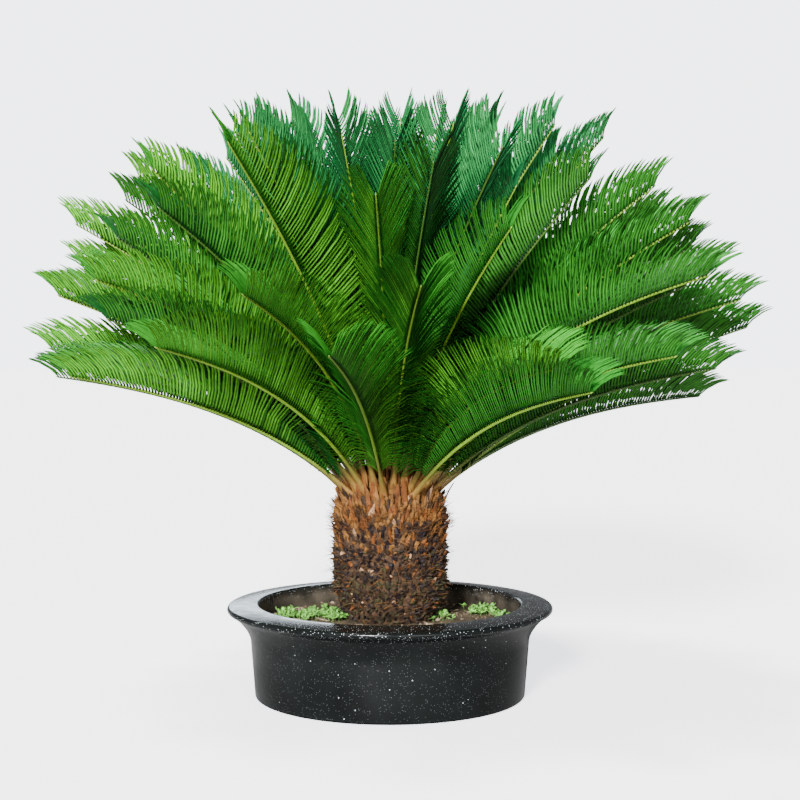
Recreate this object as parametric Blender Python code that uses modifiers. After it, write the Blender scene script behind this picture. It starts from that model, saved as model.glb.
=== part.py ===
"""A sago palm in a wide round pot.

The pot, the soil, the trunk and every frond is a solid of its own. Units are metres and
+Z is up. The origin is the centre of the pot's flat underside, and -Y is the front.
"""

import math
import random

import bmesh
import bpy
from mathutils import Matrix, Vector
from mathutils.bvhtree import BVHTree

# Clearance between two solids that touch on the real plant.
SEAT_GAP = 0.0003

# Pot: a round bowl with a wide flared rim.
POT_HEIGHT = 0.186
POT_BASE_RADIUS = 0.271
POT_BODY_RADIUS = 0.279
POT_RIM_RADIUS = 0.326
POT_MOUTH_RADIUS = 0.268
POT_WALL = 0.014
POT_FLOOR = 0.016
POT_FLOOR_CORNER = 0.020
POT_LIP_RADIUS = 0.006
POT_EDGE_RADIUS = 0.006
POT_EDGE_DROP = 0.004
COVE_TOP_INSET = 0.013
COVE_TOP_DROP = 0.021
COVE_FOOT_DROP = 0.078
COVE_STEPS = 3
COVE_FULLNESS = 0.9
POT_FOOT_BEVEL = 0.005
POT_SEGMENTS = 40

# Soil inside the pot, level under the trunk and a little lower at the wall.
SOIL_LEVEL = 0.152
SOIL_FALL = 0.006
SOIL_FLAT_RADIUS = 0.125
SOIL_SHOULDER_RADIUS = 0.185
SOIL_GAP = 0.0005

# Trunk: a barrel of old leaf bases, with a domed top that carries the fronds.
TRUNK_FOOT_RADIUS = 0.078
TRUNK_BELLY_RADIUS = 0.110
TRUNK_SHOULDER_RADIUS = 0.100
TRUNK_HEIGHT = 0.243
BELLY_SHARE = 0.34
BELLY_FULLNESS = 0.8
SHOULDER_SHARE = 0.72
LEAF_BASES_ROUND = 18
LEAF_BASE_ROWS = 11
LEAF_BASE_DEPTH = 0.009
LEAF_BASE_LIFT = 0.008
DOME_INSET = 0.002
DOME_RINGS = 8
DOME_LOWEST_LATITUDE = math.radians(35.0)

# Crown: fronds on a golden-angle spiral, from the low outer ones to the upright inner ones.
FROND_COUNT = 57
GOLDEN_ANGLE = math.pi * (3.0 - math.sqrt(5.0))
CROWN_PHASE = math.radians(-60.0)
CROWN_SEED = 2389
LOWEST_FROND = math.radians(20.5)
HIGHEST_FROND = math.radians(83.0)
LOWEST_FOOT = math.radians(42.0)
HIGHEST_FOOT = math.radians(86.0)
LOWEST_START = math.radians(39.0)
HIGHEST_START = math.radians(88.0)
ARCH_POWER = 1.5
OUTER_RIB_LENGTH = 0.635
INNER_RIB_LENGTH = 0.750
MIDDLE_RIB_GAIN = 0.060
AZIMUTH_WANDER = 6.0
PITCH_WANDER = 3.5
LENGTH_WANDER = 0.03
ROLL_WANDER = 9.0

# Fronds that lean their own way, chosen by hand: degrees round, degrees up, and share of the
# usual length.
LEANING_FRONDS = {
    0: (0, 0, 1.00),
    3: (5, 5, 1.05),
    5: (-5, 0, 1.00),
    7: (0, 0, 0.95),
    13: (10, -5, 0.85),
    21: (10, -5, 1.05),
    23: (0, -5, 1.00),
    26: (0, -5, 0.90),
    31: (0, 5, 1.05),
    34: (0, 0, 0.85),
    37: (-5, 0, 1.00),
    39: (5, -5, 0.95),
    42: (-5, 5, 0.85),
    45: (5, 0, 1.05),
    49: (-5, 0, 0.90),
    52: (0, 0, 0.90),
    55: (0, 0, 0.90),
}

# One frond: a rib with a V-shaped blade cut into leaflets. A share of the blade runs from 0 at its
# foot to 1 at its tip.
PETIOLE_SHARE = 0.11
PETIOLE_STEPS = 3
FINE_STEPS = 6
LEAFLET_PAIRS = 13
RIB_FOOT_WIDTH = 0.018
RIB_WIDTH = 0.009
RIB_TIP_WIDTH = 0.004
RIB_DEPTH = 0.007
RIB_TIP_DEPTH_SHARE = 0.35
LEAFLET_TIP_SHARE = 0.25
LEAFLET_LENGTH = 0.140
FOOT_LEAFLET_SHARE = 0.32
FULL_LENGTH_FROM = 0.24
TIP_LEAFLET_SHARE = 0.75
SHORTENING_FROM = 0.60
SWEEP_FOOT = math.radians(82.0)
SWEEP_MIDDLE = math.radians(65.0)
SWEEP_TIP = math.radians(30.0)
SWEEP_MIDDLE_AT = 0.35
SWEEP_POWER = 1.2
FOLD_FOOT = math.radians(14.0)
FOLD_BLADE = math.radians(50.0)
FOLDED_FROM = 0.40

# A leaflet that would touch another frond is tried shorter, then left out.
SHORTER_TRIES = (1.0, 0.8, 0.6, 0.4)
LEAFLET_CLEARANCE = 0.0012
RIB_CLEARANCE = 0.0018

COLLECTION_NAME = "sago_palm"


def clear_scene():
    for thing in list(bpy.data.objects):
        bpy.data.objects.remove(thing, do_unlink=True)


def new_collection(name):
    collection = bpy.data.collections.new(name)
    bpy.context.scene.collection.children.link(collection)
    return collection


def material(name, colour, roughness, metallic=0.0):
    made = bpy.data.materials.new(name)
    made.use_nodes = True
    shader = made.node_tree.nodes["Principled BSDF"]
    shader.inputs["Base Color"].default_value = (*colour, 1.0)
    shader.inputs["Roughness"].default_value = roughness
    shader.inputs["Metallic"].default_value = metallic
    return made


def add_object(name, mesh, collection, finish, smooth=False):
    made = bpy.data.objects.new(name, mesh)
    mesh.materials.append(finish)
    if smooth:
        mesh.shade_smooth()
    collection.objects.link(made)
    return made


def mix(a, b, share):
    return a + (b - a) * share


# ---------------------------------------------------------------------------------------
# Pot and soil


def arc_points(centre, radius, start, end, steps):
    """Points (r, z) on an arc, with angles in degrees."""
    points = []
    for step in range(steps + 1):
        angle = math.radians(mix(start, end, step / steps))
        points.append((centre[0] + radius * math.cos(angle), centre[1] + radius * math.sin(angle)))
    return points


def turned_object(name, profile, collection, finish):
    """A solid turned round Z from a profile of (r, z) that ends on the axis at both ends."""
    mesh = bpy.data.meshes.new(name)
    edges = [(i, i + 1) for i in range(len(profile) - 1)]
    mesh.from_pydata([(r, 0.0, z) for r, z in profile], edges, [])
    made = add_object(name, mesh, collection, finish)
    screw = made.modifiers.new("Turn", "SCREW")
    screw.axis = "Z"
    screw.steps = POT_SEGMENTS
    screw.render_steps = POT_SEGMENTS
    screw.use_merge_vertices = True
    screw.merge_threshold = 0.0001
    screw.use_smooth_shade = True
    return made


def pot_inner_radius(height):
    """Radius of the pot's straight inner wall at a height above the underside."""
    share = (height - POT_FLOOR) / (POT_HEIGHT - POT_LIP_RADIUS - POT_FLOOR)
    return mix(POT_BASE_RADIUS - POT_WALL, POT_MOUTH_RADIUS - POT_LIP_RADIUS, share)


def make_pot(collection, finish):
    cove_top = (POT_RIM_RADIUS - COVE_TOP_INSET, POT_HEIGHT - COVE_TOP_DROP)
    cove_foot = (POT_BODY_RADIUS, POT_HEIGHT - COVE_FOOT_DROP)
    corner_top = POT_FLOOR + POT_FLOOR_CORNER
    profile = [(0.0, POT_FLOOR), (pot_inner_radius(POT_FLOOR) - POT_FLOOR_CORNER, POT_FLOOR)]
    profile += [(pot_inner_radius(corner_top), corner_top)]
    lip_centre = (POT_MOUTH_RADIUS, POT_HEIGHT - POT_LIP_RADIUS)
    profile += arc_points(lip_centre, POT_LIP_RADIUS, 180.0, 90.0, 3)
    edge_centre = (POT_RIM_RADIUS - POT_EDGE_RADIUS, POT_HEIGHT - POT_EDGE_DROP - POT_EDGE_RADIUS)
    profile += arc_points(edge_centre, POT_EDGE_RADIUS, 90.0, -45.0, 4)
    for step in range(COVE_STEPS + 1):
        share = step / COVE_STEPS
        inward = math.sin(share * math.pi / 2) ** COVE_FULLNESS
        profile.append((mix(cove_top[0], cove_foot[0], inward), mix(cove_top[1], cove_foot[1], share)))
    profile += [(POT_BASE_RADIUS, POT_FOOT_BEVEL), (POT_BASE_RADIUS - POT_FOOT_BEVEL, 0.0), (0.0, 0.0)]
    return turned_object("pot", profile, collection, finish)


def make_soil(collection, finish):
    """The fill of the pot, clear of the pot's inside all round."""
    low = POT_FLOOR + SEAT_GAP
    corner_top = POT_FLOOR + POT_FLOOR_CORNER
    edge_level = SOIL_LEVEL - SOIL_FALL
    profile = [
        (0.0, SOIL_LEVEL),
        (SOIL_FLAT_RADIUS, SOIL_LEVEL),
        (SOIL_SHOULDER_RADIUS, mix(SOIL_LEVEL, edge_level, 0.6)),
        (pot_inner_radius(edge_level) - SOIL_GAP, edge_level),
        (pot_inner_radius(corner_top) - SOIL_GAP, corner_top),
        (pot_inner_radius(POT_FLOOR) - POT_FLOOR_CORNER - SOIL_GAP, low),
        (0.0, low),
    ]
    return turned_object("soil", profile, collection, finish)


# ---------------------------------------------------------------------------------------
# Trunk


def dome_radius():
    """Radius of the ball that the trunk's domed top is a cap of."""
    return (TRUNK_SHOULDER_RADIUS - DOME_INSET) / math.cos(DOME_LOWEST_LATITUDE)


def dome_centre():
    top_of_barrel = SOIL_LEVEL + SEAT_GAP + TRUNK_HEIGHT
    return Vector((0.0, 0.0, top_of_barrel - dome_radius() * math.sin(DOME_LOWEST_LATITUDE)))


def barrel_radius(share):
    """Radius of the trunk's barrel, from its foot (0) to its shoulder (1)."""
    swell = math.sin(min(1.0, share / BELLY_SHARE) * math.pi / 2) ** BELLY_FULLNESS
    radius = mix(TRUNK_FOOT_RADIUS, TRUNK_BELLY_RADIUS, swell)
    narrowing = max(0.0, (share - SHOULDER_SHARE) / (1.0 - SHOULDER_SHARE)) ** 2
    return mix(radius, TRUNK_SHOULDER_RADIUS, narrowing)


def trunk_rings():
    """Rings of points up the barrel, every other one standing proud, and then up the dome."""
    columns = 2 * LEAF_BASES_ROUND
    rows = 2 * LEAF_BASE_ROWS
    rings = []
    for row in range(rows + 1):
        on_wall = 0 < row < rows
        ring = []
        for column in range(columns):
            proud = on_wall and (row + column) % 2 == 0
            radius = barrel_radius(row / rows) + LEAF_BASE_DEPTH * (0.5 if proud else -0.5) * on_wall
            height = SOIL_LEVEL + SEAT_GAP + TRUNK_HEIGHT * row / rows + LEAF_BASE_LIFT * proud
            ring.append((radius, height))
        rings.append(ring)
    for step in range(DOME_RINGS):
        latitude = mix(DOME_LOWEST_LATITUDE, math.pi / 2, step / DOME_RINGS)
        radius = dome_radius() * math.cos(latitude)
        rings.append([(radius, dome_centre().z + dome_radius() * math.sin(latitude))] * columns)
    return rings


def make_trunk(collection, finish):
    """A barrel whose wall is a lattice of old leaf bases, each a low pyramid on a diamond."""
    shape = bmesh.new()
    rings = []
    for ring in trunk_rings():
        points = []
        for column, (radius, height) in enumerate(ring):
            angle = 2.0 * math.pi * column / len(ring)
            points.append(shape.verts.new((radius * math.cos(angle), radius * math.sin(angle), height)))
        rings.append(points)
    for row, (lower, upper) in enumerate(zip(rings, rings[1:])):
        for column in range(len(lower)):
            after = (column + 1) % len(lower)
            if (row + column) % 2 == 0:
                shape.faces.new((lower[column], lower[after], upper[column]))
                shape.faces.new((lower[after], upper[after], upper[column]))
            else:
                shape.faces.new((lower[column], lower[after], upper[after]))
                shape.faces.new((lower[column], upper[after], upper[column]))
    apex = shape.verts.new(dome_centre() + Vector((0.0, 0.0, dome_radius())))
    top = rings[-1]
    for column in range(len(top)):
        shape.faces.new((top[column], top[(column + 1) % len(top)], apex))
    shape.faces.new(list(reversed(rings[0])))
    mesh = bpy.data.meshes.new("trunk")
    shape.to_mesh(mesh)
    shape.free()
    return add_object("trunk", mesh, collection, finish)


# ---------------------------------------------------------------------------------------
# Fronds


class Frond:
    """Where one frond stands and how its rib runs."""

    def __init__(self, index, chance):
        share = (index + 0.5) / FROND_COUNT
        self.index = index
        wander = [chance.uniform(-most, most) for most in (AZIMUTH_WANDER, PITCH_WANDER)]
        turn, rise, reach = LEANING_FRONDS.get(index, (*wander, 1.0))
        self.azimuth = CROWN_PHASE + index * GOLDEN_ANGLE + math.radians(turn)
        latitude = math.asin(mix(math.sin(LOWEST_FOOT), math.sin(HIGHEST_FOOT), share))
        pitch = math.asin(mix(math.sin(LOWEST_FROND), math.sin(HIGHEST_FROND), share)) + math.radians(rise)
        self.start_pitch = mix(LOWEST_START, HIGHEST_START, share)
        fall = 1.0 / (ARCH_POWER + 1.0)
        self.tip_pitch = (pitch - fall * self.start_pitch) / (1.0 - fall)
        self.length = mix(OUTER_RIB_LENGTH, INNER_RIB_LENGTH, share)
        self.length += MIDDLE_RIB_GAIN * 4.0 * share * (1.0 - share)
        self.length *= reach * (1.0 + chance.uniform(-LENGTH_WANDER, LENGTH_WANDER))
        self.roll = math.radians(chance.uniform(-ROLL_WANDER, ROLL_WANDER))
        self.outward = Vector((math.cos(self.azimuth), math.sin(self.azimuth), 0.0))
        self.sideways = Vector((-math.sin(self.azimuth), math.cos(self.azimuth), 0.0))
        seat = self.outward * math.cos(latitude) + Vector((0.0, 0.0, math.sin(latitude)))
        self.foot = dome_centre() + seat * (dome_radius() + SEAT_GAP)

    def pitch(self, along):
        """Elevation of the rib at a share of its length."""
        return mix(self.tip_pitch, self.start_pitch, (1.0 - along) ** ARCH_POWER)

    def direction(self, along):
        pitch = self.pitch(along)
        return self.outward * math.cos(pitch) + Vector((0.0, 0.0, math.sin(pitch)))

    def stations(self):
        """(share, point, forward, side, up) at the foot, along the petiole and between leaflets."""
        shares = [PETIOLE_SHARE * i / PETIOLE_STEPS for i in range(PETIOLE_STEPS)]
        shares += [mix(PETIOLE_SHARE, 1.0, i / LEAFLET_PAIRS) for i in range(LEAFLET_PAIRS + 1)]
        found = []
        point = self.foot.copy()
        reached = 0.0
        for share in shares:
            step = (share - reached) / FINE_STEPS
            for i in range(FINE_STEPS):
                point = point + self.direction(reached + (i + 0.5) * step) * (step * self.length)
            reached = share
            forward = self.direction(share)
            up = forward.cross(self.sideways)
            turn = Matrix.Rotation(self.roll * min(1.0, share / PETIOLE_SHARE), 3, forward)
            found.append((share, point.copy(), forward, turn @ self.sideways, turn @ up))
        return found


def blade_share(along):
    return (along - PETIOLE_SHARE) / (1.0 - PETIOLE_SHARE)


def rib_width(along):
    if along < PETIOLE_SHARE:
        return mix(RIB_FOOT_WIDTH, RIB_WIDTH, (along / PETIOLE_SHARE) ** 0.6)
    return mix(RIB_WIDTH, RIB_TIP_WIDTH, blade_share(along))


def leaflet_length(blade):
    """Short at the foot of the blade, full over its middle, and a little shorter at the tip."""
    rise = mix(FOOT_LEAFLET_SHARE, 1.0, min(1.0, blade / FULL_LENGTH_FROM))
    late = max(0.0, (blade - SHORTENING_FROM) / (1.0 - SHORTENING_FROM))
    return LEAFLET_LENGTH * rise * mix(1.0, TIP_LEAFLET_SHARE, late ** 1.5)


def leaflet_direction(blade, side_sign, forward, side, up):
    """Square to the rib and nearly flat at the foot, and swept forward and folded up further on."""
    if blade < SWEEP_MIDDLE_AT:
        sweep = mix(SWEEP_FOOT, SWEEP_MIDDLE, blade / SWEEP_MIDDLE_AT)
    else:
        late = (blade - SWEEP_MIDDLE_AT) / (1.0 - SWEEP_MIDDLE_AT)
        sweep = mix(SWEEP_MIDDLE, SWEEP_TIP, late ** SWEEP_POWER)
    fold = mix(FOLD_FOOT, FOLD_BLADE, min(1.0, blade / FOLDED_FROM))
    outwards = side * (side_sign * math.cos(fold)) + up * math.sin(fold)
    return forward * math.cos(sweep) + outwards * math.sin(sweep)


def slab(corners, depths, up, clearance):
    """Points and triangles of a flat piece that goes down from its corners, grown all round."""
    normal = (corners[1] - corners[0]).cross(corners[2] - corners[0]).normalized()
    if normal.dot(up) < 0.0:
        normal = -normal
    middle = sum(corners, Vector()) / len(corners)
    grown = [c + (c - middle).normalized() * clearance for c in corners]
    points = [c + normal * clearance for c in grown]
    points += [c - normal * (depth + clearance) for c, depth in zip(grown, depths)]
    count = len(corners)
    faces = [(0, i, i + 1) for i in range(1, count - 1)]
    faces += [(count, count + i + 1, count + i) for i in range(1, count - 1)]
    for i in range(count):
        after = (i + 1) % count
        faces += [(i, after, count + after), (i, count + after, count + i)]
    return points, faces


def tree_of(pieces):
    points, faces = [], []
    for piece_points, piece_faces in pieces:
        first = len(points)
        points += piece_points
        faces += [tuple(first + i for i in face) for face in piece_faces]
    return BVHTree.FromPolygons(points, faces, all_triangles=True)


def rib_edges(stations):
    """Left and right edge points of the rib's upper face."""
    left, right = [], []
    for along, point, forward, side, up in stations:
        half = 0.5 * rib_width(along)
        left.append(point + side * half)
        right.append(point - side * half)
    return left, right


def rib_depth(along):
    return RIB_DEPTH * mix(1.0, RIB_TIP_DEPTH_SHARE, along)


def rib_pieces(stations):
    """Slabs along the rib, for keeping other fronds' leaflets off it."""
    left, right = rib_edges(stations)
    pieces = []
    for i in range(len(stations) - 1):
        corners = [left[i], left[i + 1], right[i + 1], right[i]]
        depths = [rib_depth(stations[i][0])] * 4
        pieces.append(slab(corners, depths, stations[i][4], RIB_CLEARANCE))
    return pieces


def fit_leaflets(stations, obstacles):
    """{(pitch, side sign): tip point} of the leaflets that stay clear of the obstacles."""
    left, right = rib_edges(stations)
    tips, pieces = {}, []
    for pitch in range(LEAFLET_PAIRS):
        i = PETIOLE_STEPS + pitch
        along, _, forward, side, up = stations[i]
        blade = (pitch + 0.5) / LEAFLET_PAIRS
        depths = [rib_depth(along), rib_depth(along), LEAFLET_TIP_SHARE * RIB_DEPTH]
        for side_sign, edge in ((1, left), (-1, right)):
            root = (edge[i] + edge[i + 1]) / 2
            reach = leaflet_direction(blade, side_sign, forward, side, up) * leaflet_length(blade)
            for scale in SHORTER_TRIES:
                tip = root + reach * scale
                piece = slab([edge[i], edge[i + 1], tip], depths, up, LEAFLET_CLEARANCE)
                if not tree_of([piece]).overlap(obstacles):
                    tips[(pitch, side_sign)] = tip
                    pieces.append(piece)
                    break
    return tips, pieces


def frond_mesh(name, stations, tips):
    """The open upper face of a frond: the rib's strip with a pointed face for each leaflet."""
    shape = bmesh.new()
    left_points, right_points = rib_edges(stations)
    left = [shape.verts.new(p) for p in left_points]
    right = [shape.verts.new(p) for p in right_points]
    thin = []
    for i in range(len(stations) - 1):
        shape.faces.new((left[i], right[i], right[i + 1], left[i + 1]))
    for (pitch, side_sign), tip in tips.items():
        i = PETIOLE_STEPS + pitch
        point = shape.verts.new(tip)
        thin.append(point)
        if side_sign > 0:
            shape.faces.new((left[i], left[i + 1], point))
        else:
            shape.faces.new((right[i + 1], right[i], point))
    shape.verts.index_update()
    thin_indices = {v.index for v in thin}
    mesh = bpy.data.meshes.new(name)
    shape.to_mesh(mesh)
    shape.free()
    return mesh, thin_indices


def make_frond(name, stations, tips, collection, finish):
    mesh, thin = frond_mesh(name, stations, tips)
    made = add_object(name, mesh, collection, finish)
    group = made.vertex_groups.new(name="rib")
    rib_count = 2 * len(stations)
    for index in range(rib_count):
        along = stations[index % len(stations)][0]
        group.add([index], rib_depth(along) / RIB_DEPTH, "REPLACE")
    group.add(sorted(thin), 0.0, "REPLACE")
    shell = made.modifiers.new("Thickness", "SOLIDIFY")
    shell.thickness = RIB_DEPTH
    shell.offset = -1.0
    shell.vertex_group = group.name
    shell.thickness_vertex_group = LEAFLET_TIP_SHARE
    return made


def make_crown(collection, finish):
    """Every frond, the inner ones first, each kept clear of those already there."""
    chance = random.Random(CROWN_SEED)
    fronds = [Frond(index, chance) for index in range(FROND_COUNT)]
    stations = {frond.index: frond.stations() for frond in fronds}
    ribs = {index: rib_pieces(found) for index, found in stations.items()}
    blades = {}
    for frond in reversed(fronds):
        others = [piece for index, pieces in ribs.items() if index != frond.index for piece in pieces]
        others += [piece for pieces in blades.values() for piece in pieces]
        tips, blades[frond.index] = fit_leaflets(stations[frond.index], tree_of(others))
        make_frond(f"frond_{frond.index + 1:02d}", stations[frond.index], tips, collection, finish)


def main():
    clear_scene()
    collection = new_collection(COLLECTION_NAME)
    pot_glaze = material("pot_glaze", (0.020, 0.026, 0.030), 0.32)
    potting_soil = material("potting_soil", (0.075, 0.058, 0.040), 0.95)
    leaf_base_bark = material("leaf_base_bark", (0.210, 0.105, 0.040), 0.90)
    frond_green = material("frond_green", (0.060, 0.240, 0.030), 0.42)
    make_pot(collection, pot_glaze)
    make_soil(collection, potting_soil)
    make_trunk(collection, leaf_base_bark)
    make_crown(collection, frond_green)


main()
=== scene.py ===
"""Looks of a potted sago palm: feathery fronds, a trunk of old leaf bases, soil and a glazed pot.

Units are metres and +Z is up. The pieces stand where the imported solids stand.
"""

import math
import random
from collections import namedtuple
from functools import partial

import bpy
import numpy as np
from mathutils import Matrix, Vector, noise


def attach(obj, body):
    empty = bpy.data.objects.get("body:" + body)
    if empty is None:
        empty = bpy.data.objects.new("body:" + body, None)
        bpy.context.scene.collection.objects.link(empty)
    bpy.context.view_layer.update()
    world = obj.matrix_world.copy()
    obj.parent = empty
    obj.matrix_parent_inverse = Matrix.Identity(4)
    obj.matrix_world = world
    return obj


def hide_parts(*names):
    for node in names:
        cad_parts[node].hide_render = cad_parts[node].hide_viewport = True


bl_info = {
    "name": "Potted sago palm",
    "version": (1, 0, 0),
    "blender": (4, 5, 0),
    "location": "3D View > Sidebar > Palm",
    "description": "Builds a potted sago palm from named sizes and colours",
    "category": "Add Mesh",
}

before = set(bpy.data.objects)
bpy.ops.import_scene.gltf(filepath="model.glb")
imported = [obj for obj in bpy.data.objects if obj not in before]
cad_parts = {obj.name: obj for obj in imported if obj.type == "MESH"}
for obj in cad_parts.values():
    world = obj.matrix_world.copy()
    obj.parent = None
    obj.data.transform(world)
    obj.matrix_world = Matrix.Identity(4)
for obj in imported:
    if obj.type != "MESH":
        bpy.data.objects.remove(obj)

BODY = "root"

# Sizes that the looks share with the solids.
SEAT_GAP = 0.0003
POT_HEIGHT = 0.186
POT_BASE_RADIUS = 0.271
POT_BODY_RADIUS = 0.279
POT_RIM_RADIUS = 0.326
POT_MOUTH_RADIUS = 0.268
POT_WALL = 0.014
POT_FLOOR = 0.016
POT_FLOOR_CORNER = 0.020
POT_LIP_RADIUS = 0.006
POT_EDGE_RADIUS = 0.006
POT_EDGE_DROP = 0.004
COVE_TOP_INSET = 0.013
COVE_TOP_DROP = 0.021
COVE_FOOT_DROP = 0.078
COVE_FULLNESS = 0.9
POT_FOOT_BEVEL = 0.005
POT_RIM_CROWN = 0.00072
SOIL_LEVEL = 0.152
SOIL_FALL = 0.006
SOIL_FLAT_RADIUS = 0.125
SOIL_SHOULDER_RADIUS = 0.185
TRUNK_FOOT_RADIUS = 0.078
TRUNK_BELLY_RADIUS = 0.110
TRUNK_SHOULDER_RADIUS = 0.100
TRUNK_HEIGHT = 0.243
BELLY_SHARE = 0.34
BELLY_FULLNESS = 0.8
SHOULDER_SHARE = 0.72
DOME_INSET = 0.002
DOME_LOWEST_LATITUDE = math.radians(35.0)
FROND_COUNT = 57
GOLDEN_ANGLE = math.pi * (3.0 - math.sqrt(5.0))
CROWN_PHASE = math.radians(-60.0)
CROWN_SEED = 2389
LOWEST_FROND = math.radians(20.5)
HIGHEST_FROND = math.radians(83.0)
LOWEST_FOOT = math.radians(42.0)
HIGHEST_FOOT = math.radians(86.0)
LOWEST_START = math.radians(39.0)
HIGHEST_START = math.radians(88.0)
ARCH_POWER = 1.5
OUTER_RIB_LENGTH = 0.635
INNER_RIB_LENGTH = 0.750
MIDDLE_RIB_GAIN = 0.060
AZIMUTH_WANDER = 6.0
PITCH_WANDER = 3.5
LENGTH_WANDER = 0.03
ROLL_WANDER = 9.0
# Fronds that lean their own way: degrees round, degrees up, and share of the usual length.
LEANING_FRONDS = {
    **{0: (0, 0, 1.00), 3: (5, 5, 1.05), 5: (-5, 0, 1.00), 7: (0, 0, 0.95), 13: (10, -5, 0.85)},
    **{21: (10, -5, 1.05), 23: (0, -5, 1.00), 26: (0, -5, 0.90), 31: (0, 5, 1.05), 34: (0, 0, 0.85)},
    **{37: (-5, 0, 1.00), 39: (5, -5, 0.95), 42: (-5, 5, 0.85), 45: (5, 0, 1.05), 49: (-5, 0, 0.90)},
    **{52: (0, 0, 0.90), 55: (0, 0, 0.90)},
}
PETIOLE_SHARE = 0.11
PETIOLE_STEPS = 6
FINE_STEPS = 4
RIB_FOOT_WIDTH = 0.018
RIB_WIDTH = 0.009
RIB_TIP_WIDTH = 0.004
RIB_DEPTH = 0.007
RIB_TIP_DEPTH_SHARE = 0.35
FOOT_LEAFLET_SHARE = 0.32
FULL_LENGTH_FROM = 0.24
TIP_LEAFLET_SHARE = 0.75
SHORTENING_FROM = 0.60
HEART_FROM = 0.74
FRONT_BELOW = -0.72
# Leaflets up to this share of the blade may take the painted-shade tone near the frond's foot.
SHADED_FOOT_UP_TO = 0.38
LAST_LEAFLETS_FROM = 0.86
LAST_LEAFLET_SHARE = 0.68
SWEEP_FOOT = math.radians(82.0)
SWEEP_MIDDLE = math.radians(65.0)
SWEEP_TIP = math.radians(30.0)
SWEEP_MIDDLE_AT = 0.35
SWEEP_POWER = 1.2
FOLD_FOOT = math.radians(14.0)
FOLD_BLADE = math.radians(50.0)
FOLDED_FROM = 0.40

# Fronds of each piece of foliage, from the low outer ones to the upright inner ones.
TIERS = {
    "leaflets_skirt": (0, 12),
    "leaflets_low": (12, 23),
    "leaflets_middle": (23, 34),
    "leaflets_high": (34, 45),
    "leaflets_heart": (45, 57),
}
# Fronds between the main ones keep clear of this sector, where the front feathers stand free.
FREE_SECTOR_MIDDLE = math.radians(-90.0)
FREE_SECTOR_HALF = math.radians(38.0)
FREE_SECTOR_TOP = 0.62
BETWEEN_LENGTH_SHARE = 0.94

# Leaflets: (along, width) of the outline, how far the margins roll down, and how they wander.
LEAFLET_PROFILE = ((0.0, 0.42), (0.08, 0.85), (0.32, 1.0), (0.68, 0.98), (0.90, 0.70), (1.0, 0.0))
LEAFLET_ROLL = -1.95
LEAFLET_TWIST = (14.0, 3.5)
LEAFLET_SUNK = 0.0012
CURLED_UP_TO = 0.45
NARROWEST_SHARE = 0.62
FOOT_WIDTH_SHARE = 0.80
FULL_WIDTH_FROM = 0.2
OUTER_WIDTH_SHARE = 0.98
HEART_WIDTH_SHARE = 1.26
# How the painted shade near a frond's foot fades out along the blade.
SHADED_FOOT_FADE = 0.25
SIDE_DRIFT = 0.03
SWEEP_SPREAD = 0.008
FOLD_SPREAD = 0.014
# The deep tone is painted shade, for fronds behind others, some at the right and leaflets near a frond's
# foot; the fresh tone is a brighter green dealt out as painted light at the left and front.
LEAF_TONES = ("deep", "green", "fresh", "back")
SHADE_TONE, GREEN, LIT_FRESH_TONE, BACK = range(4)
LEAF_ROUGHNESS = {"upper": (0.26, 0.44), "under": (0.38, 0.55)}
# Painted shade: the dark colour laid along each leaflet's margins and over its foot beside the rib.
LEAF_GAP_SHADE = (0.002, 0.009, 0.001)
LEAF_SCALES = (9.0, 110.0)
LEAF_SHINE = 0.14

# Ribs: half their section as (across, up), their ends, and the colours along the petiole.
RIB_HALF = ((1.00, -0.35), (0.82, 0.02), (0.40, 0.16))
RIB_KEEL = ((-0.78, -0.80), (-0.30, -1.05), (0.30, -1.05), (0.78, -0.80))
RIB_PROFILE = (*RIB_HALF, (0.0, 0.05), *((-x, z) for x, z in reversed(RIB_HALF)), *RIB_KEEL)
RIB_STATIONS = 26
RIB_SUNK = 0.010
RIB_TIP_LENGTH = 0.006
OLIVE_STOPS = ((0.05, (0.21, 0.13, 0.028)), (0.13, (0.13, 0.15, 0.02)))
GREEN_FROM = 0.24

# Trunk: its colours, how high diamonds and torn fibre stand on the bark, and its leaf bases.
BASE_TONES = ("tan", "orange", "umber", "dusk", "moss", "chip")
TAN, ORANGE, UMBER, DUSK, MOSS, CHIP = range(6)
BARK_CORE = (0.075, 0.040, 0.020)
BARK_SCALES = (45.0, 420.0)
BARK_SUNK = 0.004
DIAMONDS_ROUND = 21.0
DIAMOND_PITCH = 190.0
DIAMOND_RELIEF = 0.0026
TORN_SCALE = 70.0
TORN_RELIEF = 0.0030
DOME_RELIEF_SHARE = 0.6
BASE_DEPTH = 0.0070
BASE_SUNK = 0.005
LOW_BASE_SHARE = 0.46
LONG_BASES_FROM = 0.45
BASE_SIDEWAYS = 0.24
GRAINS_UP_TO = 0.62

# Sheath strips, each pair from the ring round the crown to its middle, and fibres.
SHEATH_DEPTH = 0.0042
SHEATH_SUNK = 0.006
SHEATH_LATITUDES = (24.0, 86.0)
SHEATH_WIDTHS = (0.015, 0.009)
SHEATH_LENGTHS = (0.052, 0.030)
WOOL_SUNK = 0.004
THREAD_THICKNESS = (0.0007, 0.0014)

# Seeds of the random draws.
LEAFLET_SEED, BASE_SEED, SHEATH_SEED, FIBRE_SEED, CRUMB_SEED, WEED_SEED = 100, 41, 53, 67, 71, 83

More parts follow.
